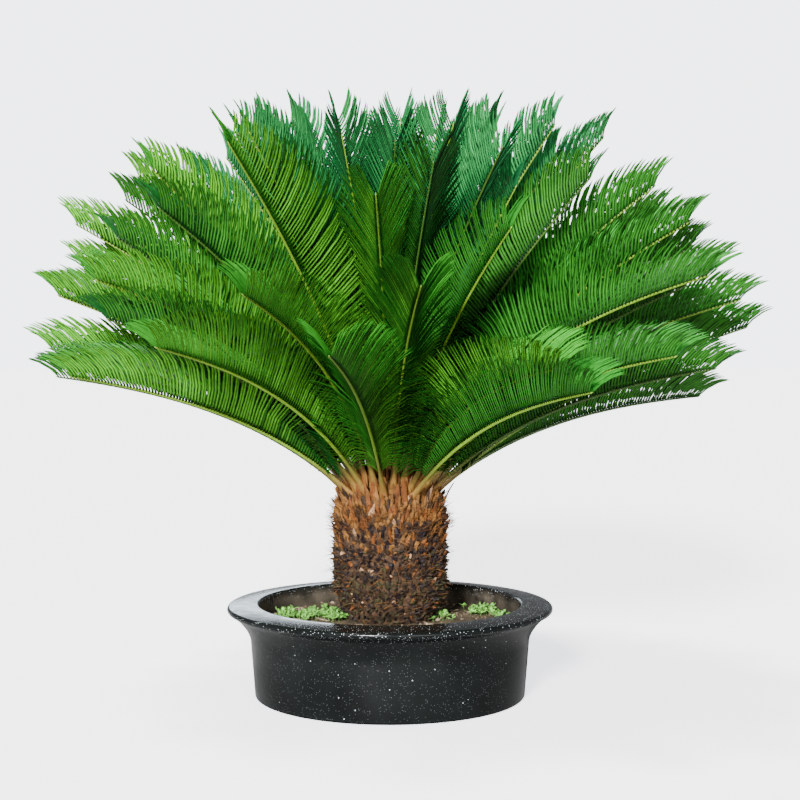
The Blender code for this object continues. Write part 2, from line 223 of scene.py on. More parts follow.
# Shapes that get scattered, each kind with its number of sides and whether it is smooth. A row is
# one shape: lean, raggedness, seed, and (along, width, depth) stations.
SHAPES = {
    "base": (5, False, (
        (0.25, 0.24, 3, (0, 0.95, 1), (0.35, 1, 0.9), (0.68, 0.66, 0.62), (0.9, 0.28, 0.35), (1, 0, 0)),
        (0.18, 0.30, 5, (0, 1, 1.1), (0.4, 1, 1), (0.72, 0.85, 0.8), (0.86, 0.6, 0.5), (0.88, 0, 0)),
        (0.12, 0.34, 7, (0, 0.9, 1.2), (0.3, 1, 1.15), (0.55, 0.9, 1), (0.62, 0.75, 0.7), (0.6, 0, 0)),
        (0.35, 0.22, 9, (0, 0.7, 0.9), (0.35, 0.62, 0.75), (0.7, 0.4, 0.5), (0.92, 0.16, 0.2), (1, 0, 0)),
        (0.30, 0.40, 11, (0, 0.8, 0.7), (0.3, 1.1, 0.5), (0.5, 0.7, 0.6), (0.8, 0.75, 0.3), (1, 0, 0)),
    )),
    "sheath": (5, False, (
        (0.05, 0.22, 13, (0, 0.9, 1), (0.3, 1, 0.8), (0.62, 0.8, 0.55), (0.85, 0.42, 0.4), (1, 0, 0)),
        (0.09, 0.24, 15, (0, 0.6, 1), (0.3, 0.62, 0.8), (0.65, 0.42, 0.5), (0.88, 0.2, 0.3), (1, 0, 0)),
        (0.03, 0.36, 17, (0, 0.9, 0.9), (0.3, 0.95, 0.75), (0.6, 0.85, 0.6), (0.8, 0.55, 0.45), (0.84, 0, 0)),
    )),
    "fibre": (3, True, (
        (0, 0, 1, (0, 1, 1), (0.25, 0.9, 0.9), (0.55, 0.7, 0.7), (0.8, 0.45, 0.45), (1, 0, 0)),
    )),
    "crumb": (6, True, (
        (0, 0.25, 21, (0, 0.5, 0.5), (0.18, 0.95, 0.9), (0.5, 1, 1), (0.82, 0.8, 0.75), (1, 0, 0)),
        (0, 0.20, 23, (0, 0.6, 0.5), (0.25, 1, 0.9), (0.6, 0.9, 0.95), (0.9, 0.5, 0.5), (0.98, 0, 0)),
        (0, 0.30, 25, (0, 0.4, 0.25), (0.3, 0.55, 0.3), (0.7, 0.5, 0.25), (1, 0.3, 0.2), (1.05, 0, 0)),
    )),
    "weed_leaf": (4, True, (
        (0.1, 0, 1, (0, 0.08, 0.08), (0.3, 0.25, 0.06), (0.55, 0.9, 0.1), (0.8, 0.8, 0.08), (1, 0, 0)),
    )),
    "weed_stem": (3, True, (
        (0, 0, 1, (0, 1, 1), (0.3, 0.9, 0.9), (0.6, 0.8, 0.8), (0.9, 0.6, 0.6), (1, 0, 0)),
    )),
}
WHOLE, BLUNT, BROKEN, NARROW, SPLIT = range(5)
HIGH_BASES = (WHOLE, WHOLE, BLUNT, NARROW, SPLIT, SPLIT)
LOW_BASES = (BLUNT, BROKEN, BROKEN, WHOLE, NARROW, SPLIT)
GRAINS = (WHOLE, NARROW, SPLIT)
FLAKE = 2
LEAF, STEM = range(2)

# Soil, its crumbs and flakes, the ring that weeds grow in, and the shine of soil and glaze.
SOIL_BED_UNDERSIDE = POT_FLOOR + 0.06
LUMP_SCALE = 22.0
CRUMBS_FROM = 0.075
CRUMB_SUNK = 0.001
FLAKE_CHANCE = 0.15
FLAKE_STRETCH = 2.6
CRUMB_SCALES = (60.0, 300.0)
WEED_SCALES = (40.0, 200.0)
WEEDS_FROM = 0.085
WEEDS_TO = 0.255
DRY_MATT = (0.8, 0.95)
GLAZE_SHINE = 0.19

# Suns of the stage: where each stands, and how wide it looks in degrees.
SUNS = {"key": ((-1.1, -4.2, 1.7), 10.0), "top": ((-1.0, -0.3, 4.0), 12.0), "fill": ((1.5, -4.0, 0.40), 30.0)}
GLEAM_PLACE = (-0.62, 3.0, 0.78)
GLEAM_SIZE = (0.85, 0.36)
GLEAM_COLOUR = (0.80, 0.91, 1.0)
COOL_WHITE = (0.93, 0.96, 1.0, 1.0)
CAMERA_PLACE = (0.02, -3.2, 0.72)
CAMERA_DIP = 2.3

UP = Vector((0.0, 0.0, 1.0))
STRAIGHT = (0.0, 0.0, 0.0)
VECTORS = ("reach", "face", "size", "bow", "hook")
NUMBERS = ("shape", "tone")
Spot = namedtuple("Spot", ("place", *VECTORS, *NUMBERS))


# ---- Settings


def setting(kind, name, description, default, **limits):
    """A property of a settings group that isn't negative."""
    values = {"name": name, "description": description, "default": default, "min": 0}
    return getattr(bpy.props, kind + "Property")(**(values | limits))


distance = partial(setting, "Float", subtype="DISTANCE", unit="LENGTH")
strength_of = partial(setting, "Float")
count_of = partial(setting, "Int")
colour_of = partial(setting, "FloatVector", max=1.0, size=3, subtype="COLOR")


class CrownSettings(bpy.types.PropertyGroup):
    """Sizes and colours of the fronds."""

    leaflets_a_side: count_of("Leaflets a side", "Leaflets on each side of a rib", 92)
    leaflet_length: distance("Leaflet length", "Length of the longest leaflets", 0.140)
    leaflet_width: distance("Leaflet width", "Width of a leaflet at its middle", 0.0059)
    leaflet_thickness: distance("Leaflet thickness", "Thickness of a leaflet along its midrib", 0.0010)
    rib_fullness: setting("Float", "Rib fullness", "Rib width beside the solids' rib", 0.62, min=0.3, max=2.0)
    # The deep colours are painted shade, and the fresh ones a brighter green dealt out as painted light.
    upper_deep: colour_of("Upper face, deep", "Upper face of the darkest fronds", (0.008, 0.100, 0.014))
    upper_green: colour_of("Upper face, green", "Upper face of most fronds", (0.026, 0.230, 0.020))
    upper_fresh: colour_of("Upper face, fresh", "Upper face of the youngest fronds", (0.046, 0.320, 0.024))
    upper_back: colour_of("Upper face, heart", "Upper face of the heart's fronds", (0.022, 0.250, 0.070))
    under_deep: colour_of("Under face, deep", "Under face of the darkest fronds", (0.044, 0.250, 0.022))
    under_green: colour_of("Under face, green", "Under face of most fronds", (0.040, 0.250, 0.022))
    under_fresh: colour_of("Under face, fresh", "Under face of the youngest fronds", (0.150, 0.600, 0.034))
    under_back: colour_of("Under face, heart", "Under face of the heart's fronds", (0.038, 0.320, 0.080))
    rib_green: colour_of("Rib", "Rib along the blade", (0.150, 0.280, 0.018))
    rib_shaded: colour_of("Shaded rib", "Rib of the fronds between the main ones", (0.045, 0.110, 0.012))
    rib_tan: colour_of("Petiole foot", "Foot of the petiole", (0.300, 0.135, 0.032))


class TrunkSettings(bpy.types.PropertyGroup):
    """Sizes and colours of the trunk."""

    leaf_bases: count_of("Leaf bases", "Old leaf bases on the barrel", 1500)
    base_width: distance("Base width", "Width of an old leaf base", 0.0095)
    base_length: distance("Base length", "Length of an old leaf base near the crown", 0.031)
    sheaths: count_of("Sheath strips", "Upright pointed strips between the petioles", 340)
    moss_grains: count_of("Moss grains", "Small mossy grains and chips low on the barrel", 2200)
    fibres: count_of("Fibres", "Loose fibres and wool", 3200)
    tan: colour_of("Tan", "Pale old leaf bases", (0.250, 0.106, 0.022))
    orange: colour_of("Orange", "Orange-brown leaf bases", (0.210, 0.064, 0.010))
    umber: colour_of("Umber", "Brown leaf bases", (0.042, 0.020, 0.008))
    dusk: colour_of("Dusk", "Purple-black leaf bases", (0.016, 0.008, 0.009))
    moss: colour_of("Moss", "Mossy grey-green leaf bases", (0.044, 0.038, 0.013))
    chip: colour_of("Chip", "Pale broken chips", (0.520, 0.300, 0.165))


class SoilSettings(bpy.types.PropertyGroup):
    """Sizes and colours of the soil and the weeds on it."""

    crumbs: count_of("Crumbs", "Crumbs of soil", 1400)
    crumb_size: distance("Crumb size", "Width of a crumb", 0.006)
    relief: distance("Relief", "Height of the soil's unevenness", 0.005)
    weeds: count_of("Weed sprigs", "Small green sprigs on the soil", 170)
    soil_brown: colour_of("Soil", "Damp soil", (0.120, 0.088, 0.054))
    soil_dry: colour_of("Dry soil", "Dry crumbs", (0.360, 0.280, 0.190))
    weed_green: colour_of("Weeds", "Leaves of the weeds", (0.160, 0.420, 0.060))


class PotSettings(bpy.types.PropertyGroup):
    """Sizes and colours of the pot."""

    segments: count_of("Segments", "Faces round the pot", 144)
    glaze: colour_of("Glaze", "Body colour of the pot", (0.0030, 0.0038, 0.0036))
    speckle: colour_of("Speckles", "Fine pale speckles", (0.620, 0.680, 0.700))
    dust: colour_of("Dust", "Dust on the inner wall", (0.085, 0.070, 0.050))


class StageSettings(bpy.types.PropertyGroup):
    """Floor, lights and camera."""

    floor_size: distance("Floor size", "Side of the square floor", 60.0)
    key_strength: strength_of("Key light", "Strength of the main light", 11.4)
    top_strength: strength_of("Top light", "Strength of the light from above", 4.0)
    fill_strength: strength_of("Fill light", "Strength of the low light at the right", 1.9)
    sky_strength: strength_of("Sky", "Strength of the even light all round", 0.12)
    mirror_strength: strength_of("Mirrored sky", "Strength of the light that shiny surfaces mirror", 0.3)
    gleam_power: strength_of("Gleam", "Power of the panel behind that the rim mirrors at its left", 7.5)
    backdrop_strength: strength_of("Backdrop", "Brightness of the plain background", 4.6)
    floor_glow: strength_of("Floor glow", "Brightness that the floor adds for the camera", 2.45)
    lens: setting("Float", "Lens", "Focal length of the camera", 72.0, min=1.0, unit="CAMERA")


# ---- Node work


class NodeWork:
    """Adds nodes to a tree and links them."""

    def __init__(self, tree):
        self.tree = tree

    def add(self, kind, inputs=None, **settings):
        made = self.tree.nodes.new(kind)
        for name, value in settings.items():
            setattr(made, name, value)
        for name, value in (inputs or {}).items():
            self.put(made.inputs[name], value)
        return made

    def put(self, socket, value):
        if isinstance(value, bpy.types.NodeSocket):
            self.tree.links.new(value, socket)
        else:
            socket.default_value = value

    def math(self, operation, first, second=0.0, clamp=False):
        made = self.add("ShaderNodeMath", {0: first, 1: second}, operation=operation, use_clamp=clamp)
        return made.outputs[0]

    def vector_math(self, operation, first, second):
        inputs = {0: first, "Scale" if operation == "SCALE" else 1: second}
        return self.add("ShaderNodeVectorMath", inputs, operation=operation).outputs[0]

    def shift(self, value, from_low, from_high, to_low=0.0, to_high=1.0):
        inputs = {1: from_low, 2: from_high, 3: to_low, 4: to_high, 0: value}
        return self.add("ShaderNodeMapRange", inputs, clamp=True).outputs[0]

    def blend(self, share, first, second, kind="MIX"):
        inputs = {0: share, 6: first, 7: second}
        return self.add("ShaderNodeMix", inputs, data_type="RGBA", blend_type=kind).outputs[2]

    def noise(self, place, scale, detail=2.0, roughness=0.5):
        inputs = {"Vector": place, "Scale": scale, "Detail": detail, "Roughness": roughness}
        return self.add("ShaderNodeTexNoise", inputs).outputs[0]

    def bump(self, height, distance, strength=1.0):
        inputs = {"Height": height, "Distance": distance, "Strength": strength}
        return self.add("ShaderNodeBump", inputs).outputs[0]

    def attribute(self, name):
        """A named attribute of the mesh, for a shader."""
        return self.add("ShaderNodeAttribute", attribute_name=name).outputs["Fac"]

    def field(self, name, kind="FLOAT"):
        """A named attribute of the geometry."""
        made = self.add("GeometryNodeInputNamedAttribute", {"Name": name}, data_type=kind)
        return next(socket for socket in made.outputs if socket.enabled)


def rgba(colour):
    return (*colour, 1.0)


def new_socket(tree, name, kind, default=None, out=False):
    way = "OUTPUT" if out else "INPUT"
    made = tree.interface.new_socket(name, in_out=way, socket_type="NodeSocket" + kind)
    if default is not None:
        made.default_value = default


def scatter_tree(name, finishes):
    """Node tree that sets a shape on each point, turned, sized and bent as the point says.

    Points hold reach, face, size, bow, hook, shape and tone, and shapes hold along and side.
    """
    tree = bpy.data.node_groups.new(name, "GeometryNodeTree")
    new_socket(tree, "Points", "Geometry")
    new_socket(tree, "Shapes", "Collection")
    new_socket(tree, "Size Spread", "Float")
    new_socket(tree, "Turn Spread", "Float")
    new_socket(tree, "Seed", "Int")
    for finish in finishes:
        new_socket(tree, finish, "Material")
    new_socket(tree, "Mesh", "Geometry", out=True)
    work = NodeWork(tree)
    given = work.add("NodeGroupInput").outputs
    turn = given["Turn Spread"]
    inputs = {"Min": work.math("MULTIPLY", turn, -1.0), "Max": turn, "Seed": given["Seed"]}
    wobble = work.add("FunctionNodeRandomValue", inputs, data_type="FLOAT_VECTOR")
    wobble = work.add("FunctionNodeEulerToRotation", {0: wobble.outputs[0]})
    reach, face, size, bow, hook = (work.field(label, "FLOAT_VECTOR") for label in VECTORS)
    axes = {"Primary Axis": reach, "Secondary Axis": face}
    facing = work.add("FunctionNodeAxesToRotation", axes, primary_axis="Y", secondary_axis="Z")
    inputs = {0: facing.outputs[0], 1: wobble.outputs[0]}
    turned = work.add("FunctionNodeRotateRotation", inputs, rotation_space="LOCAL")
    inputs = {
        "Min": work.math("SUBTRACT", 1.0, given["Size Spread"]),
        "Max": work.math("ADD", 1.0, given["Size Spread"]),
        "Seed": work.math("ADD", given["Seed"], 7.0),
    }
    spread = work.add("FunctionNodeRandomValue", inputs, data_type="FLOAT_VECTOR")
    inputs = {"Collection": given["Shapes"], "Separate Children": True, "Reset Children": True}
    inputs = {
        "Points": given["Points"],
        "Instance": work.add("GeometryNodeCollectionInfo", inputs).outputs[0],
        "Pick Instance": True,
        "Instance Index": work.field("shape", "INT"),
        "Rotation": turned.outputs[0],
        "Scale": work.vector_math("MULTIPLY", size, spread.outputs[0]),
    }
    placed = work.add("GeometryNodeInstanceOnPoints", inputs)
    real = work.add("GeometryNodeRealizeInstances", {0: placed.outputs[0]})
    along = work.field("along")
    arch = work.math("MULTIPLY", work.math("MULTIPLY", along, work.math("SUBTRACT", 1.0, along)), 4.0)
    bow = work.vector_math("SCALE", bow, arch)
    hook = work.vector_math("SCALE", hook, work.math("POWER", along, 4.0))
    inputs = {"Geometry": real.outputs[0], "Offset": work.vector_math("ADD", bow, hook)}
    geometry = work.add("GeometryNodeSetPosition", inputs).outputs[0]
    side = work.math("MULTIPLY", work.field("side", "INT"), len(finishes) / 2)
    number = work.math("ADD", work.field("tone", "INT"), side)
    for i, finish in enumerate(finishes):
        near = work.math("COMPARE", number, float(i))
        near.node.inputs[2].default_value = 0.3
        inputs = {"Geometry": geometry, "Selection": near, "Material": given[finish]}
        geometry = work.add("GeometryNodeSetMaterial", inputs).outputs[0]
    work.put(work.add("NodeGroupOutput").inputs["Mesh"], geometry)
    return tree


def shape_collection(kind, meshes):
    """Collection of the shapes that a scatter picks from, in name order."""
    collection = bpy.data.collections.new(kind + "_shape")
    for i, mesh in enumerate(meshes):
        collection.objects.link(bpy.data.objects.new(f"{kind}_shape_{i:02d}", mesh))
    return collection


def spots_mesh(name, spots):
    """Points that hold what a scatter tree reads."""
    mesh = new_mesh(name, [tuple(spot.place) for spot in spots], [])
    for label in VECTORS:
        values = np.array([getattr(spot, label) for spot in spots], np.float32).ravel()
        keep(mesh, label, values, "FLOAT_VECTOR", key="vector")
    for label in NUMBERS:
        keep(mesh, label, np.array([getattr(spot, label) for spot in spots], np.int32), "INT")
    return mesh


def scatter_piece(name, spots, shapes, finishes, seed, size_spread, turn_spread, replaced=()):
    """Adds a piece of shapes set on spots, with finishes as {label: material}."""
    tree = scatter_tree(name, list(finishes))
    names = {item.name: item.identifier for item in tree.interface.items_tree if item.in_out == "INPUT"}
    holder = bpy.data.objects.new(name + "_spots", spots_mesh(name + "_spots", list(spots)))
    bpy.context.scene.collection.objects.link(holder)
    modifier = holder.modifiers.new("Scatter", "NODES")
    modifier.node_group = tree
    values = {"Shapes": shapes, "Size Spread": size_spread, "Turn Spread": turn_spread, "Seed": seed}
    for label, value in (values | finishes).items():
        modifier[names[label]] = value
    graph = bpy.context.evaluated_depsgraph_get()
    mesh = bpy.data.meshes.new_from_object(holder.evaluated_get(graph), depsgraph=graph)
    holder.modifiers.remove(modifier)
    bpy.data.objects.remove(holder)
    for label in (*VECTORS, *NUMBERS, "side"):
        layer = mesh.attributes.get(label)
        if layer:
            mesh.attributes.remove(layer)
    add_piece(name, mesh, replaced)


def add_piece(name, mesh, replaced=()):
    """Puts a finished mesh in the scene as a piece of the plant."""
    if len(mesh.polygons) == 0:
        raise RuntimeError(f"{name} came out empty")
    mesh.name = name
    made = bpy.data.objects.new(name, mesh)
    bpy.context.scene.collection.objects.link(made)
    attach(made, BODY)
    if replaced:
        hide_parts(*replaced)


# ---- Finishes


def mottle_group():
    """Colour that wanders between a shade and a light over a surface, with a matching roughness."""
    found = bpy.data.node_groups.get("Mottle")
    if found:
        return found
    tree = bpy.data.node_groups.new("Mottle", "ShaderNodeTree")
    for label, kind in (("Place", "Vector"), ("Colour", "Color"), ("Shade", "Color")):
        new_socket(tree, label, kind)
    for label in ("Broad Scale", "Fine Scale", "Low Roughness", "High Roughness"):
        new_socket(tree, label, "Float")
    for label, kind in (("Colour", "Color"), ("Roughness", "Float"), ("Height", "Float")):
        new_socket(tree, label, kind, out=True)
    work = NodeWork(tree)
    given = work.add("NodeGroupInput").outputs
    broad = work.noise(given["Place"], given["Broad Scale"], 2.0)
    fine = work.noise(given["Place"], given["Fine Scale"], 4.0, 0.6)
    both = work.math("ADD", work.math("MULTIPLY", broad, 0.55), work.math("MULTIPLY", fine, 0.45))
    spread = work.math("SUBTRACT", given["High Roughness"], given["Low Roughness"])
    result = {
        "Colour": work.blend(work.shift(both, 0.36, 0.62), given["Shade"], given["Colour"]),
        "Roughness": work.math("ADD", given["Low Roughness"], work.math("MULTIPLY", fine, spread)),
        "Height": fine,
    }
    work.add("NodeGroupOutput", result)
    return tree


def start_finish(name):
    """A new material, work on its nodes, its shader's inputs and the object's coordinates."""
    made = bpy.data.materials.new(name)
    made.use_nodes = True
    work = NodeWork(made.node_tree)
    shader = made.node_tree.nodes["Principled BSDF"].inputs
    return made, work, shader, work.add("ShaderNodeTexCoord").outputs["Object"]


def mottled(name, colour, shade, scales, rough, bump=0.0, shine=0.5):
    """Material that wanders between a colour and a share of it, with a bump in metres."""
    made, work, shader, place = start_finish(name)
    values = {
        "Place": place,
        "Colour": rgba(colour),
        "Shade": rgba(part * shade for part in colour),
        "Broad Scale": scales[0],
        "Fine Scale": scales[1],
        "Low Roughness": rough[0],
        "High Roughness": rough[1],
    }
    group = work.add("ShaderNodeGroup", values, node_tree=mottle_group()).outputs
    work.put(shader["Base Color"], group["Colour"])
    work.put(shader["Roughness"], group["Roughness"])
    shader["Specular IOR Level"].default_value = shine
    if bump:
        work.put(shader["Normal"], work.bump(group["Height"], bump))
    return made


def repaint(made):
    """Work on a finish's nodes, its shader's inputs, and what gives its base colour now."""
    shader = made.node_tree.nodes["Principled BSDF"].inputs
    return NodeWork(made.node_tree), shader, shader["Base Color"].links[0].from_socket


def paint_gap_and_foot_shade(made, dark, amount):
    """Paints shade towards a leaflet's margins and over its foot beside the rib, where the gaps lie in shade,
    so that neighbours stand apart.
    """
    work, shader, plain = repaint(made)
    margin_shade = work.shift(work.attribute("edge"), 0.28, 0.90, 0.0, amount)
    foot = work.shift(work.attribute("along"), 0.0, 0.30, 0.72, 0.0)
    work.put(shader["Base Color"], work.blend(work.math("MAXIMUM", margin_shade, foot), plain, rgba(dark)))
    return made


def floor_finish(glow):
    """Pale plain floor that looks brighter than the light that it throws back."""
    made = mottled("floor_pale", (0.86, 0.86, 0.86), 0.985, (1.0, 9.0), (0.6, 0.7), 0.0, 0.2)
    work, shader, pale = repaint(made)
    seen = work.add("ShaderNodeLightPath").outputs["Is Camera Ray"]
    work.put(shader["Base Color"], work.blend(seen, (0.30, 0.30, 0.30, 1.0), pale))
    work.put(shader["Emission Color"], work.blend(seen, (0.0, 0.0, 0.0, 1.0), COOL_WHITE))
    shader["Emission Strength"].default_value = glow
    return made


# ---- Shapes shared by the pieces


def mix(a, b, share):
    return a + (b - a) * share


def compass(angle):
    """Level unit vectors that point outwards and sideways at an angle round the axis."""
    outward = Vector((math.cos(angle), math.sin(angle), 0.0))
    return outward, Vector((-outward.y, outward.x, 0.0))


def raised(outward, angle):
    """Unit vector at an angle above a level one."""
    return outward * math.cos(angle) + UP * math.sin(angle)


def squared(vector, reach):
    """The unit vector square to reach that is nearest a vector."""
    return (vector - reach * vector.dot(reach)).normalized()


def level_ring(radius, height, count):
    """(angle, point) round a level circle about the axis."""
    for i in range(count):
        angle = 2.0 * math.pi * i / count
        yield angle, Vector((radius * math.cos(angle), radius * math.sin(angle), height))


def tube_faces(rings, around, first=0, inward=False):
    """Quads between rings of points that follow one another."""
    faces = []
    for row in range(rings - 1):
        start = first + row * around
        for column in range(around):
            after = (column + 1) % around
            near, far = (after, column) if inward else (column, after)
            faces.append((start + near, start + far, start + around + far, start + around + near))
    return faces


def cap_faces(start, around, tip, inward=False):
    """Triangles from a ring of points to a tip."""
    edges = [(start + column, start + (column + 1) % around) for column in range(around)]
    return [(b, a, tip) if inward else (a, b, tip) for a, b in edges]


def new_mesh(name, points, faces, smooth=True):
    mesh = bpy.data.meshes.new(name)
    mesh.from_pydata(points, [], faces)
    mesh.polygons.foreach_set("use_smooth", [smooth] * len(faces))
    return mesh


def keep(mesh, name, values, kind="FLOAT", domain="POINT", key="value"):
    """Keeps values on a mesh as a named attribute."""
    mesh.attributes.new(name, kind, domain).data.foreach_set(key, values)


def closed_strip(name, stations, around, under=(), smooth=True):
    """Closed mesh through rings of points, pinched to a point at the last station.

    stations are (along, [points of one ring]), and under lists the columns of the under side.
    """
    points = [p for _, ring in stations[:-1] for p in ring] + [stations[-1][1][0]]
    alongs = [along for along, ring in stations[:-1] for _ in ring] + [stations[-1][0]]
    rings = len(stations) - 1
    faces = [tuple(reversed(range(around)))] + tube_faces(rings, around)
    faces += cap_faces((rings - 1) * around, around, len(points) - 1)
    mesh = new_mesh(name, points, faces, smooth)
    keep(mesh, "along", alongs)
    keep(mesh, "side", [0] + [int(column in under) for column in range(around)] * rings, "INT", "FACE")
    return mesh


def leaflet_shape():
    """A leaflet of unit size along Y: keeled above, with its margins rolled down, and a sharp tip."""
    stations = []
    for along, wide in LEAFLET_PROFILE:
        half = 0.5 * wide
        roll = LEAFLET_ROLL * wide
        ring = [(half, along, roll), (0.0, along, 0.5), (-half, along, roll), (0.0, along, -0.5)]
        stations.append((along, ring))
    mesh = closed_strip("leaflet", stations, 4, under=(2, 3))
    rings = len(stations) - 1
    # edge runs from 0 along the midrib to 1 at the margins; the leaf finishes paint shade along it.
    keep(mesh, "edge", [1.0, 0.0] * (2 * rings) + [0.6])
    margins = {(start, min(start + 4, 4 * rings)) for start in range(0, 4 * rings, 2)}
    sharp = [tuple(sorted(edge.vertices)) in margins for edge in mesh.edges]
    keep(mesh, "sharp_edge", sharp, "BOOLEAN", "EDGE")
    return mesh


def pointed_shape(name, profile, lean, around, ragged, seed, smooth):
    """A thick pointed strip of unit size along Y, from (along, width, depth) stations."""
    chance = random.Random(seed)
    stations = []
    for along, wide, deep in profile:
        ring = []
        for i in range(around):
            angle = 2.0 * math.pi * i / around
            shake = 1.0 + chance.uniform(-ragged, ragged)
            x = 0.5 * wide * math.cos(angle) * shake
            z = 0.5 * deep * math.sin(angle) * shake + lean * along * along
            ring.append((x, along + chance.uniform(-ragged, ragged) * 0.12, z))
        stations.append((along, ring))
    return closed_strip(name, stations, around, smooth=smooth)


def shapes_of(*kinds):
    """Collection of the shapes of some kinds, for a scatter to pick from."""
    meshes = []
    for kind in kinds:
        sides, smooth, rows = SHAPES[kind]
        for lean, ragged, seed, *profile in rows:
            meshes.append(pointed_shape(kind, profile, lean, sides, ragged, seed, smooth))
    return shape_collection(kinds[0], meshes)


# ---- Fronds


def dome_radius():
    return (TRUNK_SHOULDER_RADIUS - DOME_INSET) / math.cos(DOME_LOWEST_LATITUDE)


def dome_centre():
    top_of_barrel = SOIL_LEVEL + SEAT_GAP + TRUNK_HEIGHT
    return Vector((0.0, 0.0, top_of_barrel - dome_radius() * math.sin(DOME_LOWEST_LATITUDE)))


class Frond:
    """Where one frond stands and how its rib runs."""

    def __init__(self, index, chance):
        share = (index + 0.5) / FROND_COUNT
        self.index = index
        self.between = index != int(index)
        self.share = share
        wander = [chance.uniform(-most, most) for most in (AZIMUTH_WANDER, PITCH_WANDER)]
        turn, rise, reach = LEANING_FRONDS.get(index, (*wander, 1.0))
        self.azimuth = CROWN_PHASE + index * GOLDEN_ANGLE + math.radians(turn)
        latitude = math.asin(mix(math.sin(LOWEST_FOOT), math.sin(HIGHEST_FOOT), share))
        pitch = math.asin(mix(math.sin(LOWEST_FROND), math.sin(HIGHEST_FROND), share)) + math.radians(rise)
        self.start_pitch = mix(LOWEST_START, HIGHEST_START, share)
        fall = 1.0 / (ARCH_POWER + 1.0)
        self.tip_pitch = (pitch - fall * self.start_pitch) / (1.0 - fall)
        self.length = mix(OUTER_RIB_LENGTH, INNER_RIB_LENGTH, share)
        self.length += MIDDLE_RIB_GAIN * 4.0 * share * (1.0 - share)
        self.length *= reach * (1.0 + chance.uniform(-LENGTH_WANDER, LENGTH_WANDER))
        self.roll = math.radians(chance.uniform(-ROLL_WANDER, ROLL_WANDER))
        self.outward, self.sideways = compass(self.azimuth)
        self.foot = dome_centre() + raised(self.outward, latitude) * (dome_radius() + SEAT_GAP)

    def direction(self, along):
        return raised(self.outward, mix(self.tip_pitch, self.start_pitch, (1.0 - along) ** ARCH_POWER))

    def stations(self, pairs):
        """(share, point, forward, side, up) at the foot, along the petiole and between leaflets."""
        shares = [PETIOLE_SHARE * i / PETIOLE_STEPS for i in range(PETIOLE_STEPS)]
        shares += [mix(PETIOLE_SHARE, 1.0, i / pairs) for i in range(pairs + 1)]
        found = []
        point = self.foot.copy()
        reached = 0.0
        for share in shares:
            step = (share - reached) / FINE_STEPS
            for i in range(FINE_STEPS):
                point = point + self.direction(reached + (i + 0.5) * step) * (step * self.length)
            reached = share
            forward = self.direction(share)
            up = forward.cross(self.sideways)
            turn = Matrix.Rotation(self.roll * min(1.0, share / PETIOLE_SHARE), 3, forward)
            found.append((share, point.copy(), forward, turn @ self.sideways, turn @ up))
        return found


def tier_fronds(low, high):
    """Fronds of one tier: the main ones, and the fewer, shorter ones that fill the crown between them."""
    chance = random.Random(CROWN_SEED)
    fronds = [Frond(index, chance) for index in range(FROND_COUNT)]
    for index in range(FROND_COUNT - 1):
        frond = Frond(index + 0.5, chance)
        off = (frond.azimuth - FREE_SECTOR_MIDDLE + math.pi) % (2.0 * math.pi) - math.pi
        if abs(off) >= FREE_SECTOR_HALF or frond.share >= FREE_SECTOR_TOP:
            frond.length *= BETWEEN_LENGTH_SHARE
            fronds.append(frond)
    return [frond for frond in fronds if low <= frond.index < high]


def blade_share(along):
    return (along - PETIOLE_SHARE) / (1.0 - PETIOLE_SHARE)


def rib_width(along):
    if along < PETIOLE_SHARE:
        return mix(RIB_FOOT_WIDTH, RIB_WIDTH, (along / PETIOLE_SHARE) ** 0.6)
    return mix(RIB_WIDTH, RIB_TIP_WIDTH, blade_share(along))


def leaflet_length(blade, longest):
    """Short at the foot of the blade, full over its middle, and a little shorter at the tip."""
    rise = mix(FOOT_LEAFLET_SHARE, 1.0, min(1.0, blade / FULL_LENGTH_FROM))
    late = max(0.0, (blade - SHORTENING_FROM) / (1.0 - SHORTENING_FROM))
    last = max(0.0, (blade - LAST_LEAFLETS_FROM) / (1.0 - LAST_LEAFLETS_FROM))
    return longest * rise * mix(1.0, TIP_LEAFLET_SHARE, late**1.5) * mix(1.0, LAST_LEAFLET_SHARE, last)


def leaflet_direction(blade, side_sign, forward, side, up, sweep_shift, fold_shift):
    """Square to the rib and nearly flat at the foot, and swept forward and folded up further on."""
    if blade < SWEEP_MIDDLE_AT:
        sweep = mix(SWEEP_FOOT, SWEEP_MIDDLE, blade / SWEEP_MIDDLE_AT)
    else:
        late = (blade - SWEEP_MIDDLE_AT) / (1.0 - SWEEP_MIDDLE_AT)
        sweep = mix(SWEEP_MIDDLE, SWEEP_TIP, late**SWEEP_POWER)
    sweep += sweep_shift
    fold = mix(FOLD_FOOT, FOLD_BLADE, min(1.0, blade / FOLDED_FROM)) + fold_shift
    outwards = side * (side_sign * math.cos(fold)) + up * math.sin(fold)
    return forward * math.cos(sweep) + outwards * math.sin(sweep)


def tuft_shifts(count, chance):
    """Small turns that draw neighbouring leaflets together into tufts with a slit between them."""
    shifts = []
    while len(shifts) < count:
        size = chance.randint(2, 6)
        pull = math.radians(chance.uniform(0.1, 1.1))
        for i in range(size):
            shifts.append(pull * (2.0 * i / (size - 1) - 1.0))
    return shifts[:count]


def frond_tone(frond, roll):
    """Which green a frond takes: the fresh green as painted light towards the left and front, and the deep
    green as painted shade where it stands behind others or at the right.
    """
    x, y, _ = frond.outward
    if frond.share > HEART_FROM:
        return BACK
    # Painted shade: fronds between the main ones, and some at the right and back, take the deep green.
    if frond.between or (x > -0.2 and y > -0.3 and roll > 0.7):
        return SHADE_TONE
    # Painted light: the front fronds take the brighter fresh green.
    if y < FRONT_BELOW and x < 0.3:
        return LIT_FRESH_TONE
    # Painted light: the fresh green is dealt out more often towards the left and front, the side of the key
    # light.
    return LIT_FRESH_TONE if roll < 0.40 - 0.75 * x - 0.12 * y else GREEN


